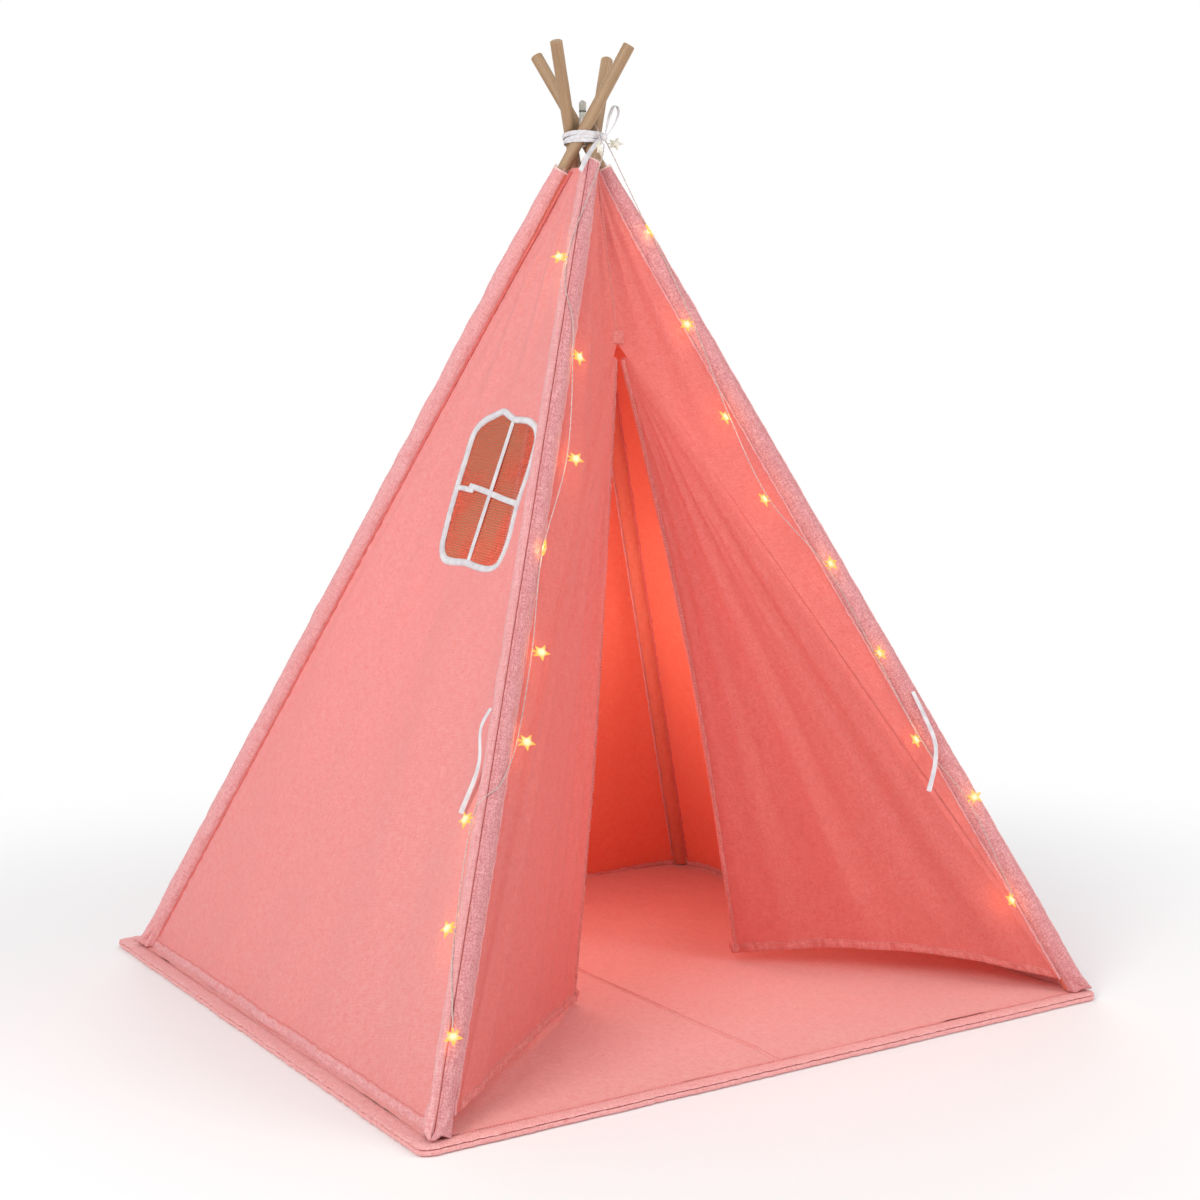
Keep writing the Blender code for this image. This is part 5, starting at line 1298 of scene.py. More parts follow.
class Sleeve:
    """A sewn cloth tube round a pole: raw at its top, ridged at its seam, gathered at its foot."""

    def __init__(self, pole):
        self.pole, self.build = pole, Build()
        self.outward, self.beside, self.axis = (np.array(v, float) for v in (*pole.around(), pole.direction))
        self.seed = 200 + 10 * pole.side + pole.end
        self.waves = [Ripple(self.seed + k, wave) for k, wave in enumerate((0.085, 0.034, 0.0105))]
        self.top, self.foot = SLEEVE_EDGES[pole.side, pole.end], LASHING.z - MAT_TOP
        self.turns = np.arange(SLEEVE_SIDES) * 2 * pi / SLEEVE_SIDES
        self.spoke = self.outward * np.cos(self.turns)[:, None] + self.beside * np.sin(self.turns)[:, None]
        self.wall_way = 1 if (-pole.end) * self.beside[1] > 0 else -1
        self.signed = ((self.turns + pi) % (2 * pi) - pi) * self.wall_way

    def reach(self, depth):
        """How far the cloth stands out round the pole at one depth."""
        long_wave, twist_wave, small = self.waves
        turns, signed, aside = self.turns, self.signed, np.abs(self.signed)
        base = sleeve_radius(depth) - 0.0006 * bell(depth, SLEEVE_FULL_DEPTH, 0.035)
        above = self.foot - depth
        gather = float(smooth_step((GATHER_HEIGHT - above) / GATHER_HEIGHT))
        loose = min(1.0, (depth - self.top) / 0.08 + 0.15)
        arc = turns * SLEEVE_RADIUS
        sway = long_wave(arc, depth) * 0.0005 + twist_wave(arc + depth * 0.35, depth * 0.5) * 0.0006
        radius = base + loose * (sway + 0.00035 * small(arc, depth))
        ruffle = RAW_FLARE + RAW_RUFFLE * np.cos(3 * turns + self.seed)
        radius += exp((self.top - depth) / RAW_FADE) * ruffle
        radius += SEAM_RISE * np.clip(signed / 0.10, 0, 1) * bell(signed, 0, 0.75)
        radius -= SEAM_GROOVE * bell(signed, -0.05, 0.075) * min(1, loose * 1.5)
        radius -= SIDE_DENT * loose * bell(aside, 1.25, 0.45)
        radius *= 1 - 0.08 * gather * (1 - gather) * 4
        lobes = bell(aside, 0.62, 0.30) - 0.7 * bell(aside, 1.20, 0.25)
        pleats = np.cos(SLEEVE_PLEATS * turns + 0.6 + 9 * above)
        radius += gather * (GATHER_LOBE * lobes + GATHER_PLEAT * pleats)
        radius -= GATHER_CLEFT * gather * bell(signed, 0, 0.16)
        return np.maximum(radius, min(base * 0.93, 0.0146) if above > 0.04 else 0.0143)

    def ring(self, depth, reach, floor):
        """One ring of points, drawn up along the pole where it would end under the floor."""
        ring = np.array(self.pole.at_depth(depth)) + self.spoke * reach[:, None]
        short = ring[:, 2] < floor
        ring[short] += self.axis * ((floor - ring[short, 2]) / self.axis[2])[:, None]
        return ring

    def add_shell(self):
        """The tube's outer and inner sides, with their own cloth beside the seam, and under the panels the
        painted orange glow of light through the cloth.
        """
        low = self.foot - 0.10
        depths = np.concatenate([np.linspace(self.top, 0.16, 48)[:-1], np.linspace(0.16, low, 250)[:-1],
                                 np.linspace(low, self.foot - 0.0006, 44)]).tolist()
        rings = [(depth, self.reach(depth)) for depth in depths]
        out = [self.ring(depth, reach, SLEEVE_FLOOR) for depth, reach in rings]
        inner = [self.ring(depth, reach - CLOTH, SLEEVE_FLOOR + CLOTH) for depth, reach in rings]
        maps = [[(turn * SLEEVE_RADIUS, depth) for turn in self.turns] for depth in depths]
        nexts = np.roll(self.signed, -1)
        middles = np.where(np.abs(self.signed - nexts) < 1, (self.signed + nexts) / 2, pi)
        within = [RIDGE_SLOT if -0.14 < m < 0 else MAIN_SLOT if m > 0 else STRIP_SLOT for m in middles]
        # The outer faces far from the seam, under the panels, take the painted orange glow of the tent's
        # inside.
        without = [INSIDE_GLOW_SLOT if abs(m) > 2.25 else slot for m, slot in zip(middles, within)]
        rows = len(depths)
        raw, caps = [RAW_SLOT] * (2 * SLEEVE_SIDES), [MAIN_SLOT] * 2
        slots = without * (rows - 2) + raw + within * (rows - 1) + caps
        self.build.add(out[::-1] + inner, loop_faces(2 * rows, SLEEVE_SIDES), slots, maps[::-1] + maps)
        self.out = np.array(out)

    def add_seams(self):
        """The overlocked edge on one side of the seam and the row of stitches on the other."""
        for angle, overlocked in ((0.22, True), (-0.34, False)):
            share = (angle * self.wall_way % (2 * pi)) / (2 * pi)
            column = int(round(share * SLEEVE_SIDES)) % SLEEVE_SIDES
            line, turn = self.out[4:-6, column], self.turns[column]
            spokes = np.tile(self.spoke[column], (len(line), 1))
            if overlocked:
                around = np.tile(self.beside * cos(turn) - self.outward * sin(turn), (len(line), 1))
                add_overlock(self.build, line, around, spokes, SEWN_SLOT, length=0.0050, pitch=0.0040,
                             skew=0.9 * self.wall_way, half=0.00035)
            else:
                add_stitches(self.build, line + spokes * 0.0001, spokes, SEWN_SLOT, *SLEEVE_STITCH)

    def add_frays(self):
        """Loose ends of thread round the raw top edge."""
        draw = np.random.default_rng(self.seed + 5)
        for _ in range(FRAY_COUNT):
            j = int(draw.integers(SLEEVE_SIDES))
            start = self.out[0][j] - self.spoke[j] * 0.0005
            rise, lean = draw.uniform(0.0020, 0.0062), draw.uniform(-0.5, 0.5, 3)
            thread = [start, start + self.axis * rise * 0.5 + lean * rise * 0.15,
                      start + self.axis * rise + lean * rise * 0.6]
            add_tube(self.build, thread, FRAY_RADII, 4, RAW_SLOT)

    def add_lobes(self):
        """The two gathered lobes of cloth that lie on the mat outside the foot."""
        pole, build = self.pole, self.build
        low = np.array(pole.at_depth(self.foot))
        flat_out = np.array(Vector((pole.side * FOOT_X, pole.end * FOOT_Y, 0)).normalized())
        flat_side = np.array([-flat_out[1], flat_out[0], 0]) * self.wall_way
        crinkle, share = Ripple(self.seed + 8, 0.012), np.linspace(0, 1, LOBE_POINTS)
        fat = np.interp(share, LOBE_SHARES, LOBE_RADII)
        for lobe, slot in ((1, MAIN_SLOT), (-1, STRIP_SLOT)):
            path = [low + flat_out * x + flat_side * lobe * y + np.array([0, 0, z]) for x, y, z in LOBE_PATH]
            first = len(build.points)
            radius = fat * (1 + 0.10 * crinkle(share * 0.05, lobe))
            add_tube(build, smooth_route(path, LOBE_POINTS), radius, 18, slot)
            build.points[first:] = [(x, y, max(z, MAT_TOP + 0.0008)) for x, y, z in build.points[first:]]


def build_sleeve(pole):
    sleeve = Sleeve(pole)
    sleeve.add_shell()
    sleeve.add_seams()
    sleeve.add_frays()
    sleeve.add_lobes()
    materials = [SLEEVE_CLOTH, THREAD, RAW_EDGE, STRIP_CLOTH, INSIDE_GLOW_CLOTH, SOFT_THREAD]
    sleeve.build.piece(f"sleeve_cloth_{pole.name}", materials, pole.body, f"sleeve_{pole.name}",
                       "cotton_light")


def build_wall_seams(pole):
    """The felled seams by which the side wall and the front or back panel join the sleeve."""
    # The back sleeves' side seams take the darker cotton as painted shade.
    side_cloth = SLEEVE_CLOTH if pole.end == FRONT else SHADED_CLOTH
    for label, other, cloth, width in (("side", POLES[pole.side, -pole.end], side_cloth, 0.0075),
                                       ("face", POLES[-pole.side, pole.end], SLEEVE_CLOTH, 0.0050)):
        line, across, out = [], [], []
        for depth in np.linspace(PANEL_EDGE + 0.005, LASHING_HEIGHT - 0.020, 300).tolist():
            toward = (other.at_depth(depth) - pole.at_depth(depth)).normalized()
            line.append(between(pole, other, 0, depth) + toward * 0.0012)
            across.append(toward)
            out.append(toward.cross(pole.direction).normalized())
        build = Build()
        seam_ridge(build, line, across, out, width, 0, 0.0030, 300 + 7 * pole.side + 3 * pole.end)
        build.piece(f"seam_{label}_{pole.name}", [cloth, SOFT_THREAD], pole.body, None, "cotton_light", 60)


def build_pole_tip(pole):
    """The pole's bare upper section: turned wood with worn flats and a chamfered cut end."""
    start = FOOT_CAP_FLOOR + GAP + POLE_LENGTH / 3 * 2
    end = FOOT_CAP_FLOOR + POLE_LENGTH
    outward, beside = pole.around()
    unevenness = Ripple(400 + 10 * pole.side + pole.end, 0.06)
    sides = 40
    stops = [(at, POLE_RADIUS) for at in np.linspace(start, end - 0.003, 150).tolist()]
    stops += [(end - 0.0016, POLE_RADIUS), (end - 0.0010, POLE_RADIUS - 0.0003),
              (end - 0.0004, POLE_RADIUS - 0.0009), (end, POLE_RADIUS - 0.0017), (end, POLE_RADIUS * 0.4)]
    points, maps = [], []
    for at, radius in stops:
        for j in range(sides):
            turn = 2 * pi * j / sides
            reach = radius - 0.00012 * (1 + float(unevenness(turn * POLE_RADIUS, at)))
            spoke = outward * cos(turn) + beside * sin(turn)
            points.append(pole.foot + pole.direction * at + spoke * reach)
            maps.append((turn * POLE_RADIUS, at + 0.13 * pole.side + 0.31 * pole.end))
    build = Build()
    build.add(points, loop_faces(len(stops), sides), 0, maps)
    build.piece(f"pole_top_{pole.name}", [WOOD_TURNED], pole.body, f"pole_{pole.name}_section_3",
                "wood", 35)


# Window

NET_SAG = 0.0035
# each bar: its ends, the direction of its width, its lift, width and number of places
WINDOW_BARS = (((0.0144, -0.1225), (-0.0060, 0.1090), (0.002, 0), 0.0004, 0.0105, 60),
               ((0.1115, -0.0127), (0.0600, -0.0122), (0, 0.002), 0.0013, 0.0085, 14),
               ((0.0745, -0.0066), (-0.0900, -0.0195), (0, 0.002), 0.0023, 0.0092, 40))


def wall_normal(across, up):
    return (on_left_wall(across, up, 0.01) - on_left_wall(across, up)).normalized()


def add_tape_stitches(build, line, across, ups, aside, lift, closed=False):
    """A row of stitches near each edge of a tape."""
    for sign in (-1, 1):
        row = [p + a.normalized() * (sign * aside) + n * lift for p, a, n in zip(line, across, ups)]
        ends = 1 if closed else 0
        add_stitches(build, row + row[:ends], ups + ups[:ends], 1, *TAPE_STITCH)


def build_net():
    """The window's slack net."""
    shape, slack = window_outline(0.001, 3), Ripple(501, 0.05)
    shares = np.linspace(1, 0, 19)[:-1].tolist()
    spots = [(x * share, y * share, share) for share in shares for x, y in shape] + [(0.0, 0.0, 0.0)]
    lifts = [-NET_SAG * (1 - share * share) + 0.0007 * float(slack(x, y)) * (1 - share ** 4) * (share > 0)
             for x, y, share in spots]
    points = [on_left_wall(x, y, lift) for (x, y, _), lift in zip(spots, lifts)]
    size = len(shape)
    last = (len(shares) - 1) * size
    faces = loop_faces(len(shares), size, caps=False)
    faces += [(last + j, last + (j + 1) % size, last + size) for j in range(size)]
    build = Build()
    build.add(points, faces, 0, [(x, y) for x, y, _ in spots])
    net = build.piece("window_gauze", [NET], "left_frame", "window_net", "net")


def build_window_tape():
    """The bias tape round the window, in small puckers, with its stitches."""
    fine, outer = window_outline(0, 6), window_outline(-0.004, 6)
    keep = [i for i, spot in enumerate(fine)
            if i == 0 or hypot(spot[0] - fine[i - 1][0], spot[1] - fine[i - 1][1]) > 1e-5]
    loop, wider = (np.array([outline[i] for i in keep + keep[:1]]) for outline in (fine, outer))
    spans = lengths(loop)
    total = int(spans[-1] / 0.0028)
    pucker = Ripple(511, 0.011)
    line, across, ups, widths = [], [], [], []
    for i in range(total):
        at = spans[-1] * i / total
        (x, y), (wx, wy) = (picked([at], spans, values)[0].tolist() for values in (loop, wider))
        line.append(on_left_wall(x, y, 0.0005 + 0.0003 * float(pucker(at))))
        across.append(on_left_wall(wx, wy) - on_left_wall(x, y))
        ups.append(wall_normal(x, y))
        widths.append(WINDOW_TAPE * (0.84 + 0.14 * smooth_step(x / 0.10)))
    build = Build()
    add_band(build, line, widths, across, 0.0044, 0, 0.25, closed=True)
    add_tape_stitches(build, line, across, ups, 0.0046, 0.0026, True)
    build.piece("window_tape", [TAPE, CREAM_THREAD], "left_frame", "window_trim", "white_tape", 50)


def build_window_bars():
    """The upright and the two crossing bars of tape."""
    build = Build()
    for (x1, y1), (x2, y2), (dx, dy), lift, width, count in WINDOW_BARS:
        places = [(x1 + (x2 - x1) * t, y1 + (y2 - y1) * t + 0.0006 * sin(6 * t))
                  for t in np.linspace(0, 1, count)]
        spots = [on_left_wall(x, y, lift) for x, y in places]
        sideways = [on_left_wall(x + dx, y + dy, lift) - spot for (x, y), spot in zip(places, spots)]
        add_band(build, spots, width, sideways, 0.0018, 0, 0.35)
        add_tape_stitches(build, spots, sideways, [wall_normal(x, y) for x, y in places], 0.0036, 0.0011)
    build.piece("window_bar_tape", [TAPE, CREAM_THREAD], "left_frame", "window_bars", "white_tape", 50)


# Mat

MAT_SPACING = 0.0034
PAD_INSET, PAD_STEP, PAD_SEAM_X, PAD_SEAM_HALF = 0.0285, 0.0085, -0.020, 0.0044
BORDER_PROFILE = (
    (0.0300, MAT_TOP - 0.0034), (0.0275, MAT_TOP - 0.0022), (0.0245, MAT_TOP - 0.0020),
    (0.0215, MAT_TOP - 0.0009), (0.0170, MAT_TOP - 0.0002), (0.0115, MAT_TOP), (0.0062, MAT_TOP - 0.0002),
    (0.0024, MAT_TOP - 0.0009), (0.0006, MAT_TOP - 0.0022), (0.0008, 0.0093), (0.0022, 0.0089),
    (0.0036, 0.0086), (0.0036, 0.0082), (0.0022, 0.0079), (0.0006, 0.0073), (0.0001, 0.0062),
    (0.0000, 0.0045), (0.0004, 0.0026), (0.0016, 0.0010), (0.0045, 0.0001), (0.0120, 0.0001),
    (0.0300, 0.0003))


# the border's profile points that pucker fully, that the height's waves move, and those whose faces in the
# seam's groove are painted dark as shade
PUCKERED, RAISED, SHADED_GROOVE = range(5, 19), range(3, 9), range(10, 13)
GROOVE_SHADE_SLOT, BORDER_THREAD_SLOT = 2, 3


def rounded_outline(inset):
    """The mat's outline drawn in by an inset, in even steps."""
    corner = max(MAT_CORNER - inset * 0.6, 0.004)
    reach = MAT_HALF - inset - corner
    side = int(2 * (MAT_HALF - MAT_CORNER) / MAT_SPACING)

    def at(sx, sy, degrees):
        turn = radians(degrees)
        return np.array([sx * reach + corner * cos(turn), sy * reach + corner * sin(turn)])

    points = []
    signs = ((1, 1, -1, 1), (-1, 1, -1, -1), (-1, -1, 1, -1), (1, -1, 1, 1))
    for (sx, sy, nx, ny), start in zip(signs, (0, 90, 180, 270)):
        points += [at(sx, sy, start + 90 * step / 9) for step in range(9)]
        first, last = at(sx, sy, start + 90), at(nx, ny, start + 90)
        points += [first + (last - first) * (step / side) for step in range(side)]
    return np.array(points)


def build_border():
    """The mat's puckered padded border with its seam groove, painted dark as shade, and its rows of thread.
    """
    base = rounded_outline(0)
    along = lengths(base)
    ring_length = (along[-1] + MAT_SPACING) / (2 * pi)
    turn = along / ring_length
    pucker, broad, height = Ripple(601, 0.0145, 6), Ripple(602, 0.12), Ripple(603, 0.0185, 6)

    def wave(which, shift=0.0):
        return which(ring_length * np.cos(turn) + shift, ring_length * np.sin(turn))

    out = unit(base - rounded_outline(0.003))
    loops = []
    for index, (inset, z) in enumerate(BORDER_PROFILE):
        push = 0.0009 * wave(pucker) * (1.0 if index in PUCKERED else 0.25) + 0.0008 * wave(broad)
        level = z + (0.0006 * (wave(height, 0.4) - 1) if index in RAISED else np.zeros(len(base)))
        ring = rounded_outline(inset) + out * push[:, None]
        loops.append(np.column_stack([ring, np.maximum(level, 0.0001)]))
    count, size = len(base), len(BORDER_PROFILE)
    girth = lengths(np.array(BORDER_PROFILE))
    maps = [(a, g) for a in along for g in girth]
    build = Build()
    # The groove's deepest faces take the dark thread colour as painted shade.
    slots = [GROOVE_SHADE_SLOT if j in SHADED_GROOVE else 0 for j in range(size)] * count
    build.add(np.stack(loops, axis=1), loop_faces(count, size, closed=True), slots, maps)
    ups = np.tile([0.0, 0, 1], (count, 1))
    ring, wider = rounded_outline(0.0262), rounded_outline(0.0232)
    line = np.column_stack([ring, np.full(count, MAT_TOP - 0.0019)])
    across = np.column_stack([wider - ring, np.full(count, 0.0005)])
    add_overlock(build, line, across, ups, BORDER_THREAD_SLOT, length=0.0064, pitch=0.0044, skew=0.8,
                 half=0.0004)
    line = np.column_stack([rounded_outline(0.0222), np.full(count, MAT_TOP - 0.0010)])
    add_stitches(build, line, ups, BORDER_THREAD_SLOT, *BORDER_STITCH)
    border = build.piece("mat_border", [BASE_CLOTH, BOUND_CLOTH, THREAD, SOFT_THREAD], "mat", "mat_base",
                         "cotton_light", 60)


def build_pad():
    """The mat's soft top with the seam across its middle."""
    reach = MAT_HALF - PAD_INSET
    even = np.arange(-reach, reach, PAD_STEP)
    xs = np.unique(np.concatenate([even, np.arange(-0.040, 0.0005, 0.0016), [reach]]))
    ys = np.unique(np.concatenate([even, [reach]]))
    x, y = np.meshgrid(xs, ys)
    inset = np.minimum(reach - np.abs(x), reach - np.abs(y))
    broad, middling, small = Ripple(611, 0.26), Ripple(612, 0.075), Ripple(613, 0.024)
    puff = 0.0019 * smooth_step(inset / 0.05) + 0.0011 * broad(x, y) + 0.0006 * middling(x, y)
    puff = puff + 0.0005 * small(x, y) * np.exp(-inset / 0.05) - 0.0032 * bell(x, PAD_SEAM_X, 0.0040)
    puff = puff + 0.0006 * small(x * 0.3, y) * bell(x, PAD_SEAM_X, 0.014)
    z = MAT_TOP - 0.0022 + np.clip(puff, -0.0014, 0.0040)
    build = Build()
    add_sheet(build, np.stack([x, y, z], axis=2))
    for place in (PAD_SEAM_X - PAD_SEAM_HALF, PAD_SEAM_X + PAD_SEAM_HALF):
        line = [(place, v, np.interp(place, xs, row) + 0.0008) for v, row in zip(ys, z)]
        add_stitches(build, line, np.tile([0.0, 0, 1], (len(ys), 1)), 1, *PAD_STITCH)
    cover = build.piece("mat_top_cover", [MAT_CLOTH, THREAD], "mat", "mat_pad", "cotton_light")


# Lashing, bow and battery

RIBBON_REACH = 0.0112
TURN_PROFILE = ((-1, 0.0), (-0.86, 0.0004), (-0.4, 0.00055), (0, 0.0006), (0.4, 0.00055), (0.86, 0.0004),
                (1, 0.0), (0.86, -0.0003), (0, -0.0003), (-0.86, -0.0003))
TURN_WIDTH, TURN_ARC = 0.0068, 0.028
# each turn: its height, how far out it lies, and its slant's phase and size
TURNS = {"lower": ((-0.0050, 0.0006, 0.4, 0.0010), (-0.0024, 0.0015, 2.9, 0.0034)),
         "upper": ((0.0056, 0.0006, 1.3, 0.0008), (0.0022, 0.0022, 4.0, 0.0036))}
BOW_KNOT_HALF, BOW_WRAP_HALF = (0.0055, 0.0034, 0.0050), (0.0038, 0.0054)
BOW_WRAP_WIDTH, BOW_WRAP_THICKNESS = 0.0052, 0.0009
BOW_LOOP = ((0.0052, 0, 0.002), (0.018, -0.0004, 0.018), (0.028, 0, 0.038), (0.026, 0.0005, 0.050),
            (0.018, 0, 0.048), (0.009, 0, 0.028), (0.003, 0, 0.0045))


def hull_reach(turn, height, out):
    """How far out a ribbon round the four poles lies, by direction and height."""
    ring = []
    for pole in POLES.values():
        azimuth = atan2(pole.crossing.y - LASHING.y, pole.crossing.x - LASHING.x)
        for step in range(-30, 31):
            way = azimuth + radians(46) * step / 30
            ring.append((BUNDLE_RADIUS * cos(azimuth) + RIBBON_REACH * cos(way),
                         BUNDLE_RADIUS * sin(azimuth) + RIBBON_REACH * sin(way)))
    ring = np.array(sorted(ring, key=lambda spot: atan2(spot[1], spot[0])))
    angle, reach = np.arctan2(ring[:, 1], ring[:, 0]), np.hypot(ring[:, 0], ring[:, 1])
    slope = hypot(FOOT_X, FOOT_Y) / LASHING_HEIGHT
    x = (turn - np.arctan2(slope * height, BUNDLE_RADIUS) + pi) % (2 * pi) - pi
    spread = np.hypot(BUNDLE_RADIUS, slope * height) - BUNDLE_RADIUS
    angles = np.concatenate([angle - 2 * pi, angle, angle + 2 * pi])
    return np.interp(x, angles, np.tile(reach, 3)) + spread + out


def apex_tape(build, name, node, sharp=50):
    build.piece(name, [TAPE], "apex", node, "white_tape", sharp)


def build_turns(name):
    """Two overlapping turns of cotton ribbon drawn tight round the four poles."""
    build = Build()
    turn = np.linspace(0, 2 * pi, 200, endpoint=False)
    for index, (level, out, phase, slant) in enumerate(TURNS[name]):
        wave = Ripple(700 + index + len(name), 0.7)
        middle = level + slant * np.sin(turn + phase) + 0.0004 * wave(np.cos(turn) * 3, np.sin(turn) * 3)
        rows = []
        for share, lift in TURN_PROFILE:
            height = middle + share * TURN_WIDTH / 2
            reach = hull_reach(turn, height, out + lift)
            row = np.stack([reach * np.cos(turn), reach * np.sin(turn), height], axis=1)
            rows.append(row + np.array(LASHING))
        maps = [(t * TURN_ARC, share * TURN_WIDTH / 2) for t in turn for share, _ in TURN_PROFILE]
        build.add(np.stack(rows, axis=1), loop_faces(len(turn), len(rows), True, True), 0, maps)
    apex_tape(build, f"ribbon_turns_{name}", f"lashing_turn_{name}")


def build_cross_tie():
    """The ribbon between the poles, which bends in the bundle's middle."""
    reach, bend = BAND_HALF - GAP, 0.0055 + GAP + 0.0005
    path = [(0, -reach, 0), (-0.0006, -BUNDLE_RADIUS / 2 ** 0.5, 0), (0, -bend - 0.004, 0)]
    path += [(-bend * sin(pi * i / 8), -bend * cos(pi * i / 8), 0) for i in range(9)]
    path += [(0, bend + 0.004, 0), (0, reach, 0)]
    build = Build()
    add_band(build, smooth_route([LASHING + Vector(p) for p in path], 70), 0.0052,
             np.tile([0.0, 0, 1], (70, 1)), 0.0008)
    apex_tape(build, "ribbon_between_poles", "lashing_cross_tie")


def build_bow():
    """The bow's knot with two wraps of ribbon round it, and its loop."""
    knot_at = LASHING + Vector((KNOT_X, FRONT_OF_BAND, 0))
    lump, rows, sides = Ripple(731, 0.006), 16, 28
    wide, deep, high = BOW_KNOT_HALF
    wrap_deep, wrap_high = BOW_WRAP_HALF
    points, maps = [], []
    for i in range(rows + 1):
        tall = pi * i / rows
        for j in range(sides):
            turn = 2 * pi * j / sides
            swell = 1 + 0.07 * float(lump(turn * 0.005, tall * 0.005))
            girth = sin(tall) ** 0.7
            spot = Vector((wide * girth * cos(turn), deep * girth * sin(turn), high * cos(tall)))
            points.append(knot_at + spot * swell)
            maps.append((turn * 0.005, tall * 0.005))
    build = Build()
    build.add(points, loop_faces(rows + 1, sides, True, caps=False), 0, maps)
    turns = np.linspace(0, 2 * pi, 48, endpoint=False)
    for slant, shift in ((0.35, -0.0012), (-0.25, 0.0016)):
        line = np.stack([shift + slant * 0.004 * np.sin(turns), wrap_deep * np.cos(turns),
                         wrap_high * np.sin(turns)], axis=1)
        across = np.tile([1.0, 0.1, -slant], (48, 1))
        add_band(build, line + np.array(knot_at), BOW_WRAP_WIDTH, across, BOW_WRAP_THICKNESS,
                 closed=True)
    apex_tape(build, "bow_knot_tape", "bow_knot", 60)
    share = np.linspace(0, 1, 90)
    across = np.stack([0.45 * np.sin(2 * pi * share + 0.7), np.ones(90), 0.30 * np.sin(pi * share)],
                      axis=1)
    build = Build()
    add_band(build, smooth_route([knot_at + Vector(p) for p in BOW_LOOP], 90),
             0.0066 - 0.0018 * np.abs(2 * share - 1) ** 3, across, 0.0007)
    apex_tape(build, "bow_loop_tape", "bow_loop")


# closed outlines of radius and height over the lashing
TUBE_PROFILE = ((0.0001, -0.0120), (0.0046, -0.0120), (0.0052, -0.0117), (0.0055, -0.0110),
                (0.0055, 0.0440), (0.0052, 0.0446), (0.0049, 0.0446), (0.0047, 0.0440),
                (0.0047, -0.0108), (0.0042, -0.0112), (0.0001, -0.0112))
SEAL_PROFILE = ((0.0056, 0.0425), (0.0059, 0.0427), (0.0060, 0.0431), (0.0060, 0.0437), (0.0059, 0.0441),
                (0.0056, 0.0443))
CAP_PROFILE = ((0.0047, 0.0453), (0.0058, 0.0453), (0.0060, 0.0456), (0.0060, 0.0558), (0.0059, 0.0578),
               (0.0054, 0.0589), (0.0046, 0.0593), (0.0036, 0.0593), (0.0035, 0.0591), (0.0035, 0.0573),
               (0.0047, 0.0571))


def add_lathe(build, profile, slot=0, sides=40, grooves=0.0):
    """A solid turned about the lashing's upright axis, grooved where it is widest."""
    points, maps = [], []
    for radius, height in profile:
        for j in range(sides):
            turn = 2 * pi * j / sides
            reach = radius * (1 + grooves * (cos(20 * turn) if radius > 0.0059 else 0))
            points.append(LASHING + Vector((reach * cos(turn), reach * sin(turn), height)))
            maps.append((turn * radius, height))
    build.add(points, loop_faces(len(profile), sides, closed=True), slot, maps)


def build_battery():
    """The slim clear battery tube, its dark seal ring and its ribbed clear cap."""
    tube, cap = Build(), Build()
    add_lathe(tube, TUBE_PROFILE)
    add_lathe(tube, SEAL_PROFILE, 1)
    add_lathe(cap, CAP_PROFILE, 0, 80, 0.012)
    tube.piece("battery_tube_clear", [CLEAR, RUBBER], "apex", "battery_tube", "clear", 50)
    cap.piece("battery_cap_clear", [CLEAR], "apex", "battery_cap", "clear", 50)


# CAD nodes that stay, floor and light

KEPT_NODES = (("pole_", WOOD_HIDDEN), ("ferrule_", STEEL), ("button_cells", STEEL), ("foot_cap_", RUBBER),
              ("battery_button", CAP))


FLOOR_REACH, FLOOR_DROP = 30, 0.0006
FADE_START, FADE_END = 0.85, 2.2
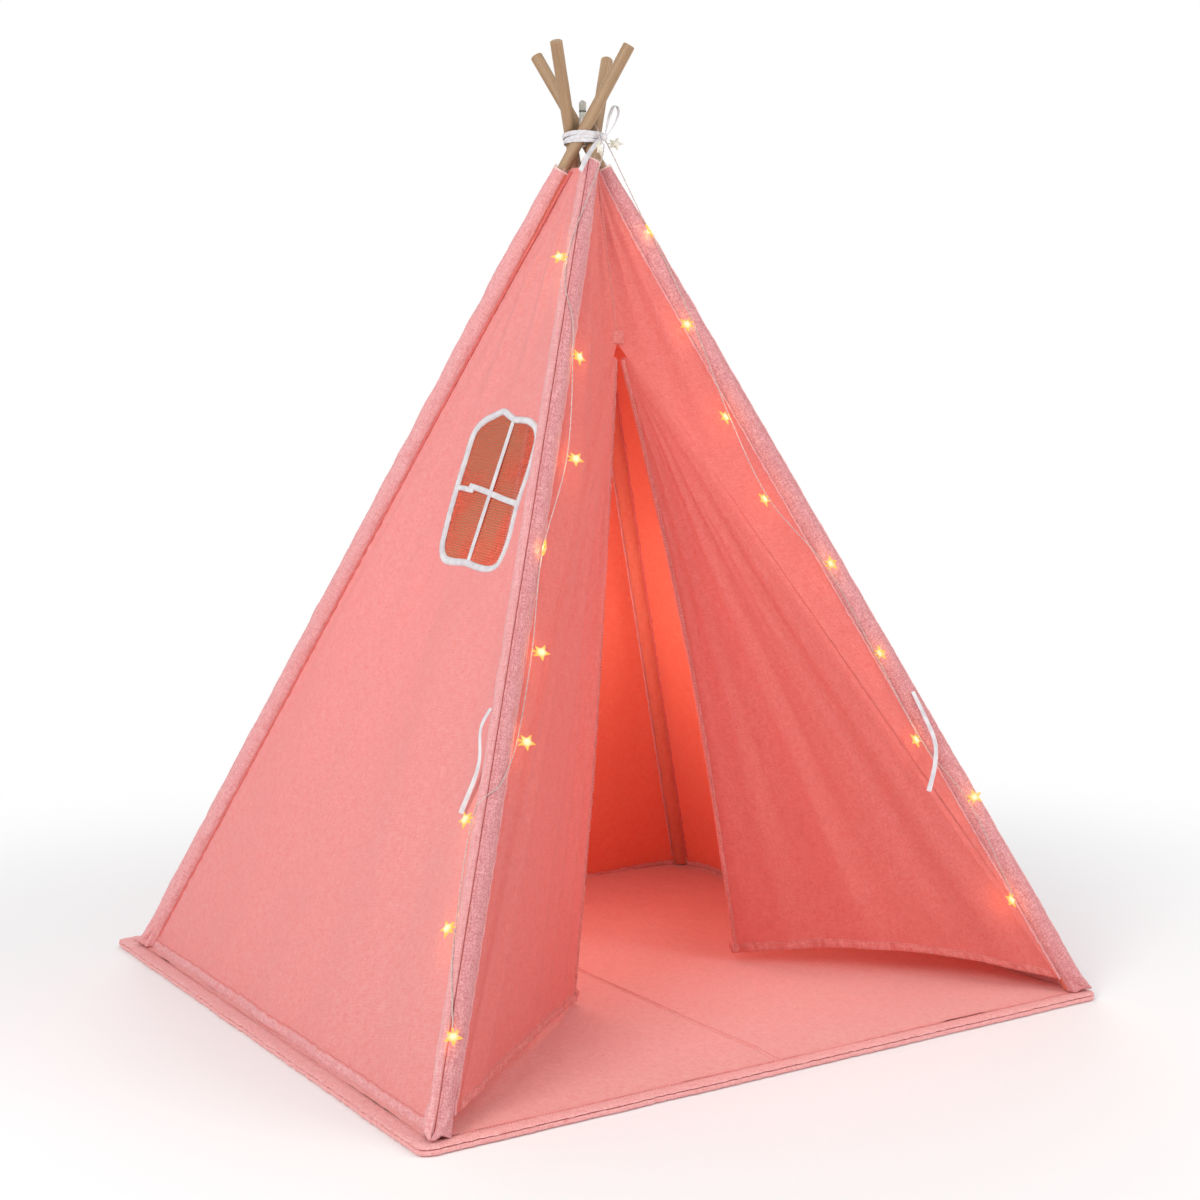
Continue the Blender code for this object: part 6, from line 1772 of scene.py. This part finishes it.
# each lamp: its name, place, power, colour, size and, for a square one, its target
LAMPS = (("key", (-3.6, -1.6, 2.9), 92, (1.0, 0.985, 0.965), 1.8, (0, 0, 0.6)),
         ("fill", (2.2, -3.6, 2.2), 62, (1.0, 0.99, 0.98), 2.6, (0, 0, 0.7)),
         ("back", (1.8, 3.6, 2.8), 50, (1, 1, 1), 2.4, (0, 0, 0.8)),
         ("inner_glow", (0.03, 0.12, 0.46), 3.3, (1.0, 0.88, 0.76), 0.16))


def dress_cad_nodes():
    """Give the CAD nodes that stay their finished materials."""
    for name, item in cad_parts.items():
        for start, material in KEPT_NODES:
            if name.startswith(start):
                for slot in item.material_slots:
                    slot.material = material


def build_stage():
    """A pale floor that fades to white, an even sky and the studio's lamps."""
    mesh = bpy.data.meshes.new("floor")
    corners = [(x * FLOOR_REACH, y * FLOOR_REACH, -FLOOR_DROP)
               for x, y in ((-1, -1), (1, -1), (1, 1), (-1, 1))]
    mesh.from_pydata(corners, [], [(0, 1, 2, 3)])
    n = new_material("floor")
    reach = n.add("VectorMath", {0: n.places()[1]}, operation="LENGTH").outputs["Value"]
    far = n.add("MapRange", {"Value": reach, "From Min": FADE_START, "From Max": FADE_END},
                interpolation_type="SMOOTHSTEP")
    pale = n.principled((0.93, 0.93, 0.93, 1), 0.9, {"Specular IOR Level": 0.1})
    bright = n.add("Emission", {"Color": (1, 1, 1, 1), "Strength": 1.0}).outputs[0]
    mesh.materials.append(n.finish(n.blended(n.times(far.outputs[0], n.seen_straight()), pale, bright)))
    linked("floor", mesh)
    world = bpy.data.worlds.new("studio")
    bpy.context.scene.world = world
    n = Nodes(world)
    soft, white = (n.add("Background", {"Color": colour, "Strength": strength}).outputs[0]
                   for colour, strength in (((0.97, 0.98, 1.0, 1), 0.60), ((1, 1, 1, 1), 1.0)))
    n.finish(n.blended(n.seen_straight(), soft, white), kind="World")
    for lamp in LAMPS:
        add_lamp(*lamp)
    bpy.context.scene.view_settings.view_transform = "Standard"


# Everything together

add_camera()
build_stage()
dress_cad_nodes()
build_ribbons()
build_border()
build_pad()
for tent_side in SIDES:
    for build_half in (build_lights, build_side_wall, build_back, build_front, build_flap):
        build_half(tent_side)
build_patch()
for corner_pole in POLES.values():
    build_sleeve(corner_pole)
    build_wall_seams(corner_pole)
    build_pole_tip(corner_pole)
build_net()
build_window_tape()
build_window_bars()
for turns_name in TURNS:
    build_turns(turns_name)
build_cross_tie()
build_bow()
build_battery()
